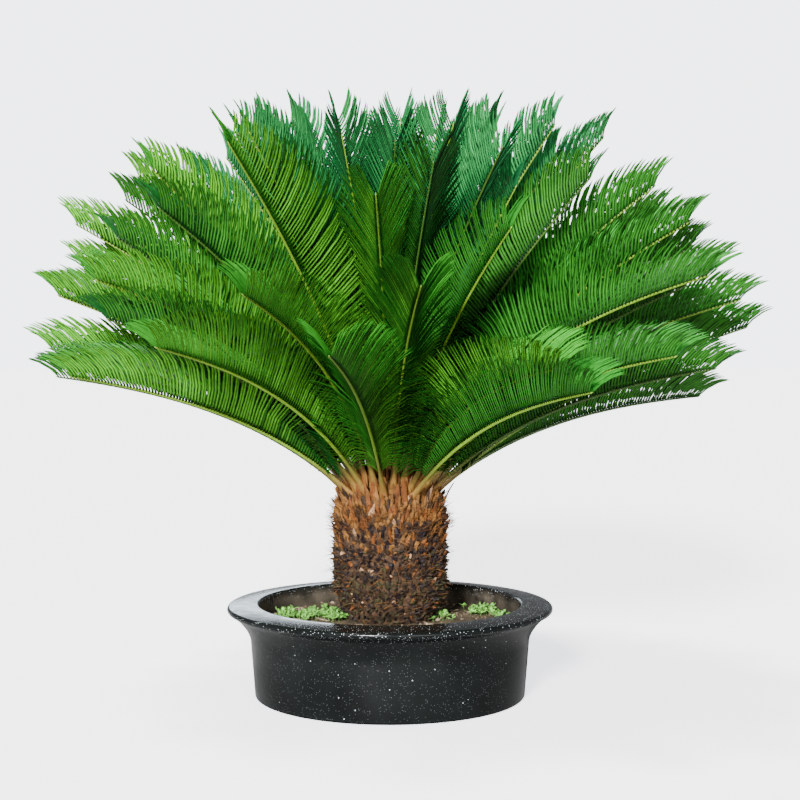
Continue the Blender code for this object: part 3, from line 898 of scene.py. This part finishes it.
def frond_spots(frond, settings, chance):
    """Spots of one frond's leaflets, on both sides of its rib."""
    pairs = settings.leaflets_a_side
    stations = frond.stations(pairs)
    tone = frond_tone(frond, chance.random())
    for sign in (1, -1):
        tufts = tuft_shifts(pairs, chance)
        side_drift = chance.uniform(-1.0, 1.0) * SIDE_DRIFT
        for pitch in range(pairs):
            i = PETIOLE_STEPS + pitch
            along, point, forward, side, up = stations[i]
            middle = (point + stations[i + 1][1]) / 2
            blade = (pitch + 0.5) / pairs
            sweep_shift = tufts[pitch] + chance.gauss(0.0, SWEEP_SPREAD)
            fold_shift = side_drift + chance.gauss(0.0, FOLD_SPREAD)
            reach = leaflet_direction(blade, sign, forward, side, up, sweep_shift, fold_shift)
            long = leaflet_length(blade, settings.leaflet_length) * chance.uniform(0.96, 1.03)
            face = forward.cross(reach).normalized() * sign
            twist = math.radians(chance.gauss(*LEAFLET_TWIST)) * sign
            face = Matrix.Rotation(twist, 3, reach) @ face
            low = 1.0 - min(1.0, blade / CURLED_UP_TO)
            late = max(0.0, (blade - CURLED_UP_TO) / (1.0 - CURLED_UP_TO))
            ahead = squared(forward, reach)
            bow = (ahead * mix(0.15, -0.09, 1.0 - low) + face * (0.05 + 0.10 * low)) * long
            hook = (ahead * (0.02 - 0.34 * low) - face * (0.06 + 0.26 * low) * (1.0 - 0.6 * late)) * long
            root = middle + side * (sign * 0.40 * rib_width(along)) - up * LEAFLET_SUNK
            across = max(NARROWEST_SHARE, forward.cross(reach).length / math.sin(SWEEP_MIDDLE))
            width = settings.leaflet_width * mix(FOOT_WIDTH_SHARE, 1.0, min(1.0, blade / FULL_WIDTH_FROM))
            width *= min(1.0, across) * mix(OUTER_WIDTH_SHARE, HEART_WIDTH_SHARE, frond.share)
            size = (width, long, settings.leaflet_thickness)
            # Painted shade: leaflets near a frond's foot may take the deep green, except on the front fronds.
            deep = chance.random() < (SHADED_FOOT_UP_TO - blade) / SHADED_FOOT_FADE and frond.outward.y > FRONT_BELOW
            yield Spot(root, reach, face, size, bow, hook, 0, SHADE_TONE if deep else tone)


def ribs_mesh(fronds, settings):
    """One closed tube for each frond's petiole and rib, clasping at its foot."""
    points, faces, alongs, kinds = [], [], [], []
    around = len(RIB_PROFILE)
    for frond in fronds:
        stations = frond.stations(RIB_STATIONS)
        first = len(points)
        for along, point, forward, side, up in stations:
            slim = mix(1.1, settings.rib_fullness, min(1.0, along / PETIOLE_SHARE))
            half = 0.5 * rib_width(along) * slim
            deep = RIB_DEPTH * mix(1.0, RIB_TIP_DEPTH_SHARE, along) * mix(1.35, 1.0, min(1.0, along / 0.1))
            ring = [point + side * (x * half) + up * (z * deep) for x, z in RIB_PROFILE]
            if len(points) == first:
                points += [tuple(p - forward * RIB_SUNK) for p in ring]
                alongs += [along] * around
            points += [tuple(p) for p in ring]
            alongs += [along] * around
        points.append(tuple(stations[-1][1] + stations[-1][2] * RIB_TIP_LENGTH))
        alongs.append(1.0)
        rings = len(stations) + 1
        faces.append(tuple(range(first, first + around)))
        faces += tube_faces(rings, around, first, inward=True)
        faces += cap_faces(first + (rings - 1) * around, around, len(points) - 1, inward=True)
        kinds += [int(frond.between)] * (len(faces) - len(kinds))
    mesh = new_mesh("ribs", points, faces)
    keep(mesh, "along", alongs)
    mesh.polygons.foreach_set("material_index", kinds)
    return mesh


def rib_finish(name, foot, green):
    """Tan at the petiole's foot, olive above it, and green along the blade."""
    made, work, shader, place = start_finish(name)
    wander = work.math("MULTIPLY", work.math("SUBTRACT", work.noise(place, 30.0), 0.5), 0.05)
    ramp = work.add("ShaderNodeValToRGB", {0: work.math("ADD", work.attribute("along"), wander)})
    stops = ramp.color_ramp.elements
    stops[0].color = rgba(foot)
    stops[1].color = rgba(part * 0.9 for part in green)
    for place_on, colour in (*OLIVE_STOPS, (GREEN_FROM, green)):
        stops.new(place_on).color = rgba(colour)
    streak = work.noise(place, 160.0, 3.0)
    shade = work.shift(streak, 0.3, 0.7, 0.78, 1.1)
    grey = work.add("ShaderNodeCombineXYZ", {0: shade, 1: shade, 2: shade}).outputs[0]
    work.put(shader["Base Color"], work.blend(1.0, ramp.outputs[0], grey, "MULTIPLY"))
    work.put(shader["Roughness"], work.shift(streak, 0.3, 0.7, 0.32, 0.5))
    return made


# ---- Trunk


def barrel_radius(share):
    """Radius of the trunk's barrel, from its foot (0) to its shoulder (1)."""
    swell = math.sin(min(1.0, share / BELLY_SHARE) * math.pi / 2) ** BELLY_FULLNESS
    radius = mix(TRUNK_FOOT_RADIUS, TRUNK_BELLY_RADIUS, swell)
    narrowing = max(0.0, (share - SHOULDER_SHARE) / (1.0 - SHOULDER_SHARE)) ** 2
    return mix(radius, TRUNK_SHOULDER_RADIUS, narrowing)


def bark_mesh():
    """The barrel and its dome, with the relief of old leaf bases and torn fibre."""
    columns, rows, dome_rows = 168, 84, 22
    points = []
    for row in range(rows + dome_rows):
        share = row / rows
        radius = barrel_radius(share)
        height = SOIL_LEVEL - BARK_SUNK + (TRUNK_HEIGHT + BARK_SUNK) * share
        if row >= rows:
            latitude = mix(DOME_LOWEST_LATITUDE, math.radians(89.0), (row - rows) / (dome_rows - 1))
            radius = dome_radius() * math.cos(latitude)
            height = dome_centre().z + dome_radius() * math.sin(latitude)
        for angle, at in level_ring(radius, height, columns):
            round_turn, rise = angle * DIAMONDS_ROUND, height * DIAMOND_PITCH
            diamonds = math.sin(round_turn + rise) * math.sin(-round_turn + rise)
            torn = noise.fractal(at * TORN_SCALE, 0.9, 2.0, 4)
            lift = DIAMOND_RELIEF * diamonds + TORN_RELIEF * torn - TORN_RELIEF
            if row < rows:
                out = Vector((at.x, at.y, 0.0)).normalized()
            else:
                out = (at - dome_centre()).normalized()
                lift *= DOME_RELIEF_SHARE
            points.append(tuple(at + out * lift))
    points.append(tuple(dome_centre() + UP * (dome_radius() - 0.002)))
    rings = rows + dome_rows
    faces = tube_faces(rings, columns) + cap_faces((rings - 1) * columns, columns, rings * columns)
    return new_mesh("bark", points, faces + [tuple(reversed(range(columns)))])


def chosen(roll, *steps):
    """The choice of the first (bound, choice) step whose bound is above the roll."""
    return next(choice for bound, choice in steps if roll < bound)


def trunk_tone(share, roll):
    """Which bark colour a leaf base takes, by its height on the barrel."""
    if share > 0.80:
        return chosen(roll, (0.42, TAN), (0.78, ORANGE), (0.95, UMBER), (1, CHIP))
    if share > 0.60:
        return chosen(roll, (0.30, TAN), (0.46, ORANGE), (0.76, UMBER), (0.98, DUSK), (1, CHIP))
    if share > 0.36:
        return chosen(roll, (0.48, DUSK), (0.82, UMBER), (0.90, ORANGE), (0.96, MOSS), (1, CHIP))
    return chosen(roll, (0.46, MOSS), (0.74, UMBER), (0.96, DUSK), (0.98, ORANGE), (1, CHIP))


def on_barrel(outward, share, lift):
    """Point at a share of the barrel's height, lifted off its surface."""
    return outward * (barrel_radius(share) + lift) + UP * (SOIL_LEVEL + TRUNK_HEIGHT * share)


def base_spots(settings):
    """Spots of the old leaf bases, on a golden-angle spiral up the barrel."""
    chance = random.Random(BASE_SEED)
    for i in range(settings.leaf_bases):
        share = (i + 0.5) / settings.leaf_bases
        outward, sideways = compass(i * GOLDEN_ANGLE + chance.uniform(-0.05, 0.05))
        height = SOIL_LEVEL + 0.002 + TRUNK_HEIGHT * share * 0.985
        top = max(0.0, (share - LONG_BASES_FROM) / (1.0 - LONG_BASES_FROM))
        lean = math.radians(chance.uniform(14.0, 38.0) - 12.0 * top)
        reach = UP * math.cos(lean) + outward * math.sin(lean)
        reach = (reach + sideways * chance.gauss(0.0, BASE_SIDEWAYS)).normalized()
        long = settings.base_length * mix(LOW_BASE_SHARE, 1.0, top) * chance.uniform(0.75, 1.15)
        size = (settings.base_width * chance.uniform(0.6, 1.3), long, BASE_DEPTH * chance.uniform(0.7, 1.4))
        place = outward * (barrel_radius(share) - BASE_SUNK) + UP * height
        picks = HIGH_BASES if top > 0.35 else LOW_BASES
        bow = outward * chance.uniform(-0.002, 0.003)
        hook = outward * chance.uniform(-0.003, 0.006)
        tone = trunk_tone(share, chance.random())
        face = squared(outward, reach)
        yield Spot(place, reach, face, size, bow, hook, chance.choice(picks), tone)
    for _ in range(settings.moss_grains):
        share = chance.random() ** 1.4 * GRAINS_UP_TO
        outward, _ = compass(chance.uniform(0.0, 2.0 * math.pi))
        place = on_barrel(outward, share, chance.uniform(-0.003, 0.002))
        reach = Vector((chance.gauss(0.0, 1.0), chance.gauss(0.0, 1.0), chance.gauss(0.4, 1.0))) + outward
        reach.normalize()
        face = reach.orthogonal().normalized()
        size = chance.uniform(0.0025, 0.0065)
        tone = chosen(chance.random(), (0.42 - 0.4 * share, MOSS), (0.66, UMBER), (0.97, DUSK), (1, ORANGE))
        shape = chance.choice(GRAINS)
        yield Spot(place, reach, face, (size, size * 1.9, size), STRAIGHT, STRAIGHT, shape, tone)


def sheath_spots(settings):
    """Spots of the strips, in a ring round the petioles' feet and over the dome between them."""
    chance = random.Random(SHEATH_SEED)
    for i in range(settings.sheaths):
        share = i / settings.sheaths
        latitude = math.radians(mix(*SHEATH_LATITUDES, share**0.9))
        outward, sideways = compass(i * GOLDEN_ANGLE + chance.uniform(-0.1, 0.1))
        place = dome_centre() + raised(outward, latitude) * (dome_radius() - SHEATH_SUNK)
        lean = mix(0.22, 0.10, share) + chance.gauss(0.0, 0.10)
        reach = (UP + outward * lean + sideways * chance.gauss(0.0, 0.10)).normalized()
        face = squared(outward, reach)
        long = mix(*SHEATH_LENGTHS, share) * chance.uniform(0.75, 1.25)
        size = (mix(*SHEATH_WIDTHS, share) * chance.uniform(0.7, 1.2), long, SHEATH_DEPTH)
        bow = -outward * chance.uniform(0.0, 0.003)
        hook = outward * chance.uniform(-0.004, 0.008)
        tone = chosen(chance.random(), (0.45, TAN), (0.80, ORANGE), (0.92, UMBER), (1, CHIP))
        yield Spot(place, reach, face, size, bow, hook, chance.randint(0, 2), tone)


def fibre_spots(settings):
    """Spots of the wool between the petioles and of loose threads down the barrel."""
    chance = random.Random(FIBRE_SEED)
    for i in range(settings.fibres):
        outward, sideways = compass(chance.uniform(0.0, 2.0 * math.pi))
        if i % 5 < 3:
            normal = raised(outward, math.radians(chance.uniform(2.0, 80.0)))
            place = dome_centre() + normal * (dome_radius() - WOOL_SUNK)
            reach = normal + UP * 0.5 + sideways * chance.gauss(0.0, 0.7)
            long = chance.uniform(0.012, 0.030)
            tone = ORANGE if chance.random() < 0.6 else TAN
        else:
            place = on_barrel(outward, chance.uniform(0.1, 1.0), 0.001)
            reach = outward * chance.uniform(0.15, 0.8) + sideways * chance.gauss(0.0, 0.8)
            reach = reach + UP * chance.uniform(-0.4, 1.2)
            long = chance.uniform(0.012, 0.034)
            tone = TAN if chance.random() < 0.45 else UMBER if chance.random() < 0.6 else DUSK
        reach.normalize()
        face = reach.cross(sideways + Vector((0.1, 0.0, 0.3))).normalized()
        thick = chance.uniform(*THREAD_THICKNESS)
        bow = sideways * chance.gauss(0.0, 0.18 * long) + outward * chance.gauss(0.0, 0.12 * long)
        hook = sideways * chance.gauss(0.0, 0.3 * long) - UP * (0.15 * long)
        yield Spot(place, reach, face, (thick, long, thick), bow, hook, 0, tone)


def bark_finishes(settings):
    """The bark colours, each mottled and rough."""
    made = {}
    for label in BASE_TONES:
        rough = (0.45, 0.7) if label == "dusk" else (0.6, 0.85)
        colour = getattr(settings, label)
        made[label] = mottled(f"bark_{label}", colour, 0.30, BARK_SCALES, rough, 0.0012, 0.3)
    return made


# ---- Soil and weeds


def pot_inner_radius(height):
    """Radius of the pot's straight inner wall at a height above the underside."""
    share = (height - POT_FLOOR) / (POT_HEIGHT - POT_LIP_RADIUS - POT_FLOOR)
    return mix(POT_BASE_RADIUS - POT_WALL, POT_MOUTH_RADIUS - POT_LIP_RADIUS, share)


def soil_level(radius):
    """Height of the smooth soil at a distance from the axis."""
    low = SOIL_LEVEL - SOIL_FALL
    shoulder = mix(SOIL_LEVEL, low, 0.6)
    if radius < SOIL_SHOULDER_RADIUS:
        share = (radius - SOIL_FLAT_RADIUS) / (SOIL_SHOULDER_RADIUS - SOIL_FLAT_RADIUS)
        return mix(SOIL_LEVEL, shoulder, max(0.0, share))
    share = (radius - SOIL_SHOULDER_RADIUS) / (pot_inner_radius(low) - SOIL_SHOULDER_RADIUS)
    return mix(shoulder, low, share)


def soil_mesh(settings):
    """An uneven soil bed, closed below."""
    rings, columns = 64, 150
    outer = pot_inner_radius(SOIL_LEVEL - SOIL_FALL) + 0.0008
    points = []
    for ring in range(1, rings + 1):
        radius = outer * (ring / rings) ** 0.8
        for _, at in level_ring(radius, 0.0, columns):
            lump = noise.fractal(at * LUMP_SCALE, 0.8, 2.0, 5)
            points.append((at.x, at.y, soil_level(radius) + settings.relief * 0.8 * lump))
    points += [(x, y, SOIL_BED_UNDERSIDE) for x, y, _ in points[-columns:]]
    centre = len(points)
    points += [(0.0, 0.0, SOIL_LEVEL), (0.0, 0.0, SOIL_BED_UNDERSIDE)]
    faces = tube_faces(rings + 1, columns, inward=True) + cap_faces(0, columns, centre)
    faces += cap_faces(rings * columns, columns, centre + 1, inward=True)
    return new_mesh("soil_bed", points, faces)


def crumb_spots(settings):
    """Spots of the crumbs and chips that lie on the soil."""
    chance = random.Random(CRUMB_SEED)
    outer = pot_inner_radius(SOIL_LEVEL - SOIL_FALL) - 0.004
    for _ in range(settings.crumbs):
        radius = math.sqrt(mix(CRUMBS_FROM**2, outer**2, chance.random()))
        angle = chance.uniform(0.0, 2.0 * math.pi)
        place = (radius * math.cos(angle), radius * math.sin(angle), soil_level(radius) - CRUMB_SUNK)
        turn = chance.uniform(0.0, 2.0 * math.pi)
        reach = Vector((math.cos(turn), math.sin(turn), chance.gauss(0.0, 0.2))).normalized()
        size = settings.crumb_size * chance.uniform(0.4, 1.3) ** 1.5
        flake = chance.random() < FLAKE_CHANCE
        long = size * (FLAKE_STRETCH if flake else 1.0)
        tone = 1 if flake or chance.random() < 0.3 else 0
        shape = FLAKE if flake else chance.randint(0, 1)
        yield Spot(place, reach, UP, (size, long, size * 0.8), STRAIGHT, STRAIGHT, shape, tone)


# Patches of weeds: (x, y, spread in x, spread in y, share of the sprigs).
WEED_PATCHES = (
    (-0.205, 0.020, 0.018, 0.030, 0.16),
    (-0.160, 0.010, 0.026, 0.036, 0.22),
    (-0.112, -0.012, 0.024, 0.036, 0.26),
    (0.190, 0.080, 0.026, 0.024, 0.18),
    (0.225, 0.020, 0.014, 0.018, 0.08),
    (0.105, -0.010, 0.014, 0.022, 0.06),
    (0.020, 0.170, 0.030, 0.020, 0.04),
)


def weed_spots(settings):
    """Spots of the leaves and stems of small sprigs in patches."""
    chance = random.Random(WEED_SEED)
    for x, y, wide, deep, part in WEED_PATCHES:
        for _ in range(round(part * settings.weeds)):
            at = Vector((x + chance.gauss(0.0, wide * 0.6), y + chance.gauss(0.0, deep * 0.6), 0.0))
            if not WEEDS_FROM <= at.length <= WEEDS_TO:
                continue
            at.z = soil_level(at.length) - CRUMB_SUNK
            tall = chance.uniform(0.008, 0.020)
            lean = Vector((chance.gauss(0.0, 0.25), chance.gauss(0.0, 0.25), 1.0)).normalized()
            side = lean.orthogonal().normalized()
            yield Spot(at, lean, side, (0.0010, tall, 0.0010), STRAIGHT, STRAIGHT, STEM, 0)
            for leaf in range(chance.randint(4, 7)):
                turn = Matrix.Rotation(leaf * 2.4 + chance.uniform(-0.4, 0.4), 3, lean)
                reach = (turn @ side + lean * chance.uniform(0.1, 0.8)).normalized()
                long = chance.uniform(0.007, 0.013)
                start = at + lean * tall * chance.uniform(0.55, 1.0)
                tone = 1 if chance.random() < 0.4 else 0
                size = (long * 0.9, long, long)
                yield Spot(start, reach, squared(lean, reach), size, STRAIGHT, STRAIGHT, LEAF, tone)


# ---- Pot


def arc_points(centre, radius, start, end, steps):
    """Points (r, z) on an arc, with angles in degrees."""
    points = []
    for step in range(steps + 1):
        angle = math.radians(mix(start, end, step / steps))
        points.append((centre[0] + radius * math.cos(angle), centre[1] + radius * math.sin(angle)))
    return points


def pot_profile():
    """Section of the pot, from the middle of its floor over the rim to the middle of its underside."""
    cove_top = (POT_RIM_RADIUS - COVE_TOP_INSET, POT_HEIGHT - COVE_TOP_DROP)
    cove_foot = (POT_BODY_RADIUS, POT_HEIGHT - COVE_FOOT_DROP)
    corner_top = POT_FLOOR + POT_FLOOR_CORNER
    profile = [(0.0, POT_FLOOR), (pot_inner_radius(POT_FLOOR) - POT_FLOOR_CORNER, POT_FLOOR)]
    profile += [(pot_inner_radius(corner_top), corner_top), (pot_inner_radius(0.13), 0.13)]
    lip_centre = (POT_MOUTH_RADIUS, POT_HEIGHT - POT_LIP_RADIUS)
    profile += arc_points(lip_centre, POT_LIP_RADIUS, 180.0, 90.0, 7)
    edge_centre = (POT_RIM_RADIUS - POT_EDGE_RADIUS, POT_HEIGHT - POT_EDGE_DROP - POT_EDGE_RADIUS)
    edge_top = (edge_centre[0], edge_centre[1] + POT_EDGE_RADIUS)
    for step in range(1, 5):
        share = step / 5
        height = mix(POT_HEIGHT, edge_top[1], share) + POT_RIM_CROWN * math.sin(math.pi * share)
        profile.append((mix(POT_MOUTH_RADIUS, edge_top[0], share), height))
    profile += arc_points(edge_centre, POT_EDGE_RADIUS, 90.0, -45.0, 9)
    for step in range(13):
        share = step / 12
        inward = math.sin(share * math.pi / 2) ** COVE_FULLNESS
        profile.append((mix(cove_top[0], cove_foot[0], inward), mix(cove_top[1], cove_foot[1], share)))
    profile += [(mix(POT_BODY_RADIUS, POT_BASE_RADIUS, 0.5), mix(cove_foot[1], POT_FOOT_BEVEL, 0.5))]
    profile += arc_points((POT_BASE_RADIUS - POT_FOOT_BEVEL, POT_FOOT_BEVEL), POT_FOOT_BEVEL, 0.0, -90.0, 4)
    return profile + [(0.0, 0.0)]


def turned_mesh(name, profile, segments):
    """Closed mesh turned round Z from a profile of (r, z) that ends on the axis at both ends."""
    middle = profile[1:-1]
    points = []
    for radius, height in middle:
        points += [tuple(at) for _, at in level_ring(radius, height, segments)]
    first = len(points)
    points += [(0.0, 0.0, profile[0][1]), (0.0, 0.0, profile[-1][1])]
    faces = tube_faces(len(middle), segments, inward=True) + cap_faces(0, segments, first)
    faces += cap_faces(first - segments, segments, first + 1, inward=True)
    return new_mesh(name, points, faces)


def speckle_mask(work, place, scale, size, share):
    """Small round dots scattered over a surface."""
    inputs = {"Vector": place, "Scale": scale, "Randomness": 1.0}
    cells = work.add("ShaderNodeTexVoronoi", inputs).outputs
    tint = work.add("ShaderNodeSeparateColor", {0: cells["Color"]}).outputs[0]
    dots = work.math("LESS_THAN", cells["Distance"], size)
    return work.math("MULTIPLY", dots, work.math("LESS_THAN", tint, share))


def pot_finish(settings):
    """Dark blue-black glaze with pale speckles, and dust on the inner wall."""
    made, work, shader, place = start_finish("pot_glaze")
    x, y, z = work.add("ShaderNodeSeparateXYZ", {0: place}).outputs
    shader["Specular IOR Level"].default_value = GLAZE_SHINE
    cloud = work.shift(work.noise(place, 9.0, 3.0), 0.35, 0.7)
    base = work.blend(cloud, rgba(settings.glaze), rgba(2.2 * part for part in settings.glaze))
    big = speckle_mask(work, place, 95.0, 0.100, 0.10)
    small = speckle_mask(work, place, 300.0, 0.22, 0.40)
    rim = work.shift(z, POT_HEIGHT - 0.03, POT_HEIGHT - 0.01, 0.10, 1.0)
    dots = work.math("MAXIMUM", big, work.math("MULTIPLY", small, rim))
    spotted = work.blend(work.math("MULTIPLY", dots, 0.85), base, rgba(settings.speckle))
    flat = work.add("ShaderNodeCombineXYZ", {0: x, 1: y}).outputs[0]
    radius = work.add("ShaderNodeVectorMath", {0: flat}, operation="LENGTH").outputs["Value"]
    inner = work.math("LESS_THAN", radius, POT_MOUTH_RADIUS - 0.001)
    low = work.shift(z, POT_HEIGHT - 0.001, POT_HEIGHT - 0.020, 0.0, 1.0)
    patchy = work.shift(work.noise(place, 28.0, 4.0), 0.3, 0.7, 0.15, 0.95)
    dusty = work.math("MULTIPLY", work.math("MULTIPLY", inner, low), patchy)
    work.put(shader["Base Color"], work.blend(dusty, spotted, rgba(settings.dust)))
    sheen = work.shift(work.noise(place, 40.0, 4.0), 0.3, 0.7, 0.12, 0.24)
    rough = work.math("ADD", sheen, work.math("MULTIPLY", dusty, 0.5), clamp=True)
    work.put(shader["Roughness"], rough)
    work.put(shader["Normal"], work.bump(work.noise(place, 210.0, 2.0), 0.0004, 0.5))
    return made


# ---- Operators


def solid_names(low, high):
    """Names of the solids that the fronds of a tier stand for."""
    return [f"frond_{index + 1:02d}" for index in range(low, high)]


class PALM_OT_foliage(bpy.types.Operator):
    """Grow the leaflets of every frond, in five pieces from the skirt to the heart"""

    bl_idname = "palm.foliage"
    bl_label = "Grow leaflets"

    def execute(self, context):
        settings = context.scene.palm_crown
        finishes = {}
        for face, rough in LEAF_ROUGHNESS.items():
            for tone in LEAF_TONES:
                key = f"{face}_{tone}"
                colour = getattr(settings, key)
                made = mottled(f"leaf_{key}", colour, 0.45, LEAF_SCALES, rough, shine=LEAF_SHINE)
                # Every leaf finish gets painted shade at its margins and its foot.
                finishes[key] = paint_gap_and_foot_shade(made, LEAF_GAP_SHADE, 0.96)
        shapes = shape_collection("leaflet", [leaflet_shape()])
        for number, (name, (low, high)) in enumerate(TIERS.items()):
            chance = random.Random(LEAFLET_SEED + number)
            spots = []
            for frond in tier_fronds(low, high):
                spots += frond_spots(frond, settings, chance)
            nodes = solid_names(low, high)
            scatter_piece(name, spots, shapes, finishes, 31 + number, 0.03, 0.02, nodes)
        return {"FINISHED"}


class PALM_OT_ribs(bpy.types.Operator):
    """Make the petiole and rib of every frond"""

    bl_idname = "palm.ribs"
    bl_label = "Make ribs"

    def execute(self, context):
        settings = context.scene.palm_crown
        mesh = ribs_mesh(tier_fronds(0, FROND_COUNT), settings)
        for name in ("rib_green", "rib_shaded"):
            mesh.materials.append(rib_finish(name, settings.rib_tan, getattr(settings, name)))
        add_piece("ribs", mesh, solid_names(0, FROND_COUNT))
        return {"FINISHED"}


class PALM_OT_trunk(bpy.types.Operator):
    """Make the trunk's bark, its old leaf bases, the sheath strips and the loose fibres"""

    bl_idname = "palm.trunk"
    bl_label = "Make trunk"

    def execute(self, context):
        settings = context.scene.palm_trunk
        tones = bark_finishes(settings)
        bark = bark_mesh()
        bark.materials.append(mottled("bark_core", BARK_CORE, 0.3, (30.0, 260.0), (0.7, 0.9), 0.0015, 0.2))
        add_piece("bark", bark, ["trunk"])
        for name, spots, kind, seed, size_spread, turn_spread in (
            ("leaf_bases", base_spots(settings), "base", 11, 0.12, 0.10),
            ("sheath_strips", sheath_spots(settings), "sheath", 12, 0.12, 0.08),
            ("fibres", fibre_spots(settings), "fibre", 13, 0.15, 0.2),
        ):
            scatter_piece(name, spots, shapes_of(kind), tones, seed, size_spread, turn_spread)
        return {"FINISHED"}


class PALM_OT_soil(bpy.types.Operator):
    """Make the soil bed, its crumbs and the small weeds on it"""

    bl_idname = "palm.soil"
    bl_label = "Make soil"

    def execute(self, context):
        settings = context.scene.palm_soil
        brown, green = settings.soil_brown, settings.weed_green
        bed = soil_mesh(settings)
        bed.materials.append(mottled("soil_damp", brown, 0.4, (30.0, 240.0), DRY_MATT, 0.002, 0.2))
        add_piece("soil_bed", bed, ["soil"])
        earth = {
            "Damp": mottled("crumb_damp", brown, 0.45, CRUMB_SCALES, DRY_MATT, 0.001, 0.2),
            "Dry": mottled("crumb_dry", settings.soil_dry, 0.5, CRUMB_SCALES, DRY_MATT, 0.001, 0.2),
        }
        scatter_piece("soil_crumbs", crumb_spots(settings), shapes_of("crumb"), earth, 14, 0.2, 0.3)
        pale = [min(1.0, 1.25 * part) for part in green]
        leaves = {
            "Leaf": mottled("weed_leaf", green, 0.6, WEED_SCALES, (0.45, 0.6)),
            "Pale Leaf": mottled("weed_pale", pale, 0.7, WEED_SCALES, (0.45, 0.6)),
        }
        sprigs = shapes_of("weed_leaf", "weed_stem")
        scatter_piece("weeds", weed_spots(settings), sprigs, leaves, 15, 0.15, 0.2)
        return {"FINISHED"}


class PALM_OT_pot(bpy.types.Operator):
    """Turn the pot and give it its speckled glaze"""

    bl_idname = "palm.pot"
    bl_label = "Make pot"

    def execute(self, context):
        settings = context.scene.palm_pot
        mesh = turned_mesh("pot_shell", pot_profile(), settings.segments)
        mesh.materials.append(pot_finish(settings))
        add_piece("pot_shell", mesh, ["pot"])
        return {"FINISHED"}


class PALM_OT_stage(bpy.types.Operator):
    """Lay the floor, hang the lights and set up the camera"""

    bl_idname = "palm.stage"
    bl_label = "Set stage"

    def execute(self, context):
        settings = context.scene.palm_stage
        half = settings.floor_size / 2
        corners = [(-half, -half, 0.0), (half, -half, 0.0), (half, half, 0.0), (-half, half, 0.0)]
        mesh = new_mesh("floor", corners, [(0, 1, 2, 3)], smooth=False)
        mesh.materials.append(floor_finish(settings.floor_glow))
        floor = self.set_down("floor", mesh)
        for name, (place, softness) in SUNS.items():
            sun = bpy.data.lights.new(name, "SUN")
            sun.angle = math.radians(softness)
            sun.energy = getattr(settings, name + "_strength")
            self.set_down(name, sun, place)
        self.hang_gleam(settings.gleam_power)
        self.paint_sky(context.scene, settings)
        camera = bpy.data.cameras.new("camera")
        camera.lens = settings.lens
        camera.sensor_width = 36.0
        made = self.set_down("camera", camera)
        made.location = CAMERA_PLACE
        made.rotation_euler = (math.radians(90.0 - CAMERA_DIP), 0.0, 0.0)
        context.scene.camera = made
        return {"FINISHED"}

    def set_down(self, name, data, place=None):
        """Adds an object; one with a place looks from there at the middle of the floor."""
        made = bpy.data.objects.new(name, data)
        if place:
            made.location = place
            made.rotation_euler = (-Vector(place)).to_track_quat("-Z", "Y").to_euler()
        bpy.context.scene.collection.objects.link(made)
        return made

    def hang_gleam(self, power):
        """Panel light that only shows as a gleam on shiny surfaces."""
        panel = bpy.data.lights.new("gleam", "AREA")
        panel.shape = "RECTANGLE"
        panel.size, panel.size_y = GLEAM_SIZE
        panel.energy = power
        panel.color = GLEAM_COLOUR
        made = self.set_down("gleam", panel, GLEAM_PLACE)
        made.visible_diffuse = False
        made.visible_camera = False

    def paint_sky(self, scene, settings):
        """Even sky that the camera sees as a bright backdrop."""
        world = bpy.data.worlds.new("studio")
        world.use_nodes = True
        work = NodeWork(world.node_tree)
        back = world.node_tree.nodes["Background"].inputs
        back["Color"].default_value = COOL_WHITE
        path = work.add("ShaderNodeLightPath").outputs
        mirrored = settings.mirror_strength
        strength = work.shift(path["Is Glossy Ray"], 0.0, 1.0, settings.sky_strength, mirrored)
        bright = work.math("MULTIPLY", path["Is Camera Ray"], settings.backdrop_strength)
        work.put(back["Strength"], work.math("MAXIMUM", strength, bright))
        scene.world = world


class PALM_PT_panel(bpy.types.Panel):
    """Sizes, colours and building steps of the palm"""

    bl_idname = "PALM_PT_panel"
    bl_label = "Potted sago palm"
    bl_space_type = "VIEW_3D"
    bl_region_type = "UI"
    bl_category = "Palm"

    def draw(self, context):
        for attribute, (_, *operators) in GROUPS.items():
            box = self.layout.box()
            settings = getattr(context.scene, attribute)
            for name in settings.__annotations__:
                box.prop(settings, name)
            for operator in operators:
                box.operator(operator.bl_idname)


GROUPS = {
    "palm_stage": (StageSettings, PALM_OT_stage),
    "palm_pot": (PotSettings, PALM_OT_pot),
    "palm_soil": (SoilSettings, PALM_OT_soil),
    "palm_trunk": (TrunkSettings, PALM_OT_trunk),
    "palm_crown": (CrownSettings, PALM_OT_ribs, PALM_OT_foliage),
}


def register():
    for attribute, classes in GROUPS.items():
        for made in classes:
            bpy.utils.register_class(made)
        setattr(bpy.types.Scene, attribute, bpy.props.PointerProperty(type=classes[0]))
    bpy.utils.register_class(PALM_PT_panel)


def unregister():
    bpy.utils.unregister_class(PALM_PT_panel)
    for attribute, classes in GROUPS.items():
        delattr(bpy.types.Scene, attribute)
        for made in reversed(classes):
            bpy.utils.unregister_class(made)


def main():
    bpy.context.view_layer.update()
    register()
    bpy.ops.palm.stage()
    bpy.ops.palm.pot()
    bpy.ops.palm.soil()
    bpy.ops.palm.trunk()
    bpy.ops.palm.ribs()
    bpy.ops.palm.foliage()


if __name__ == "__main__":
    main()
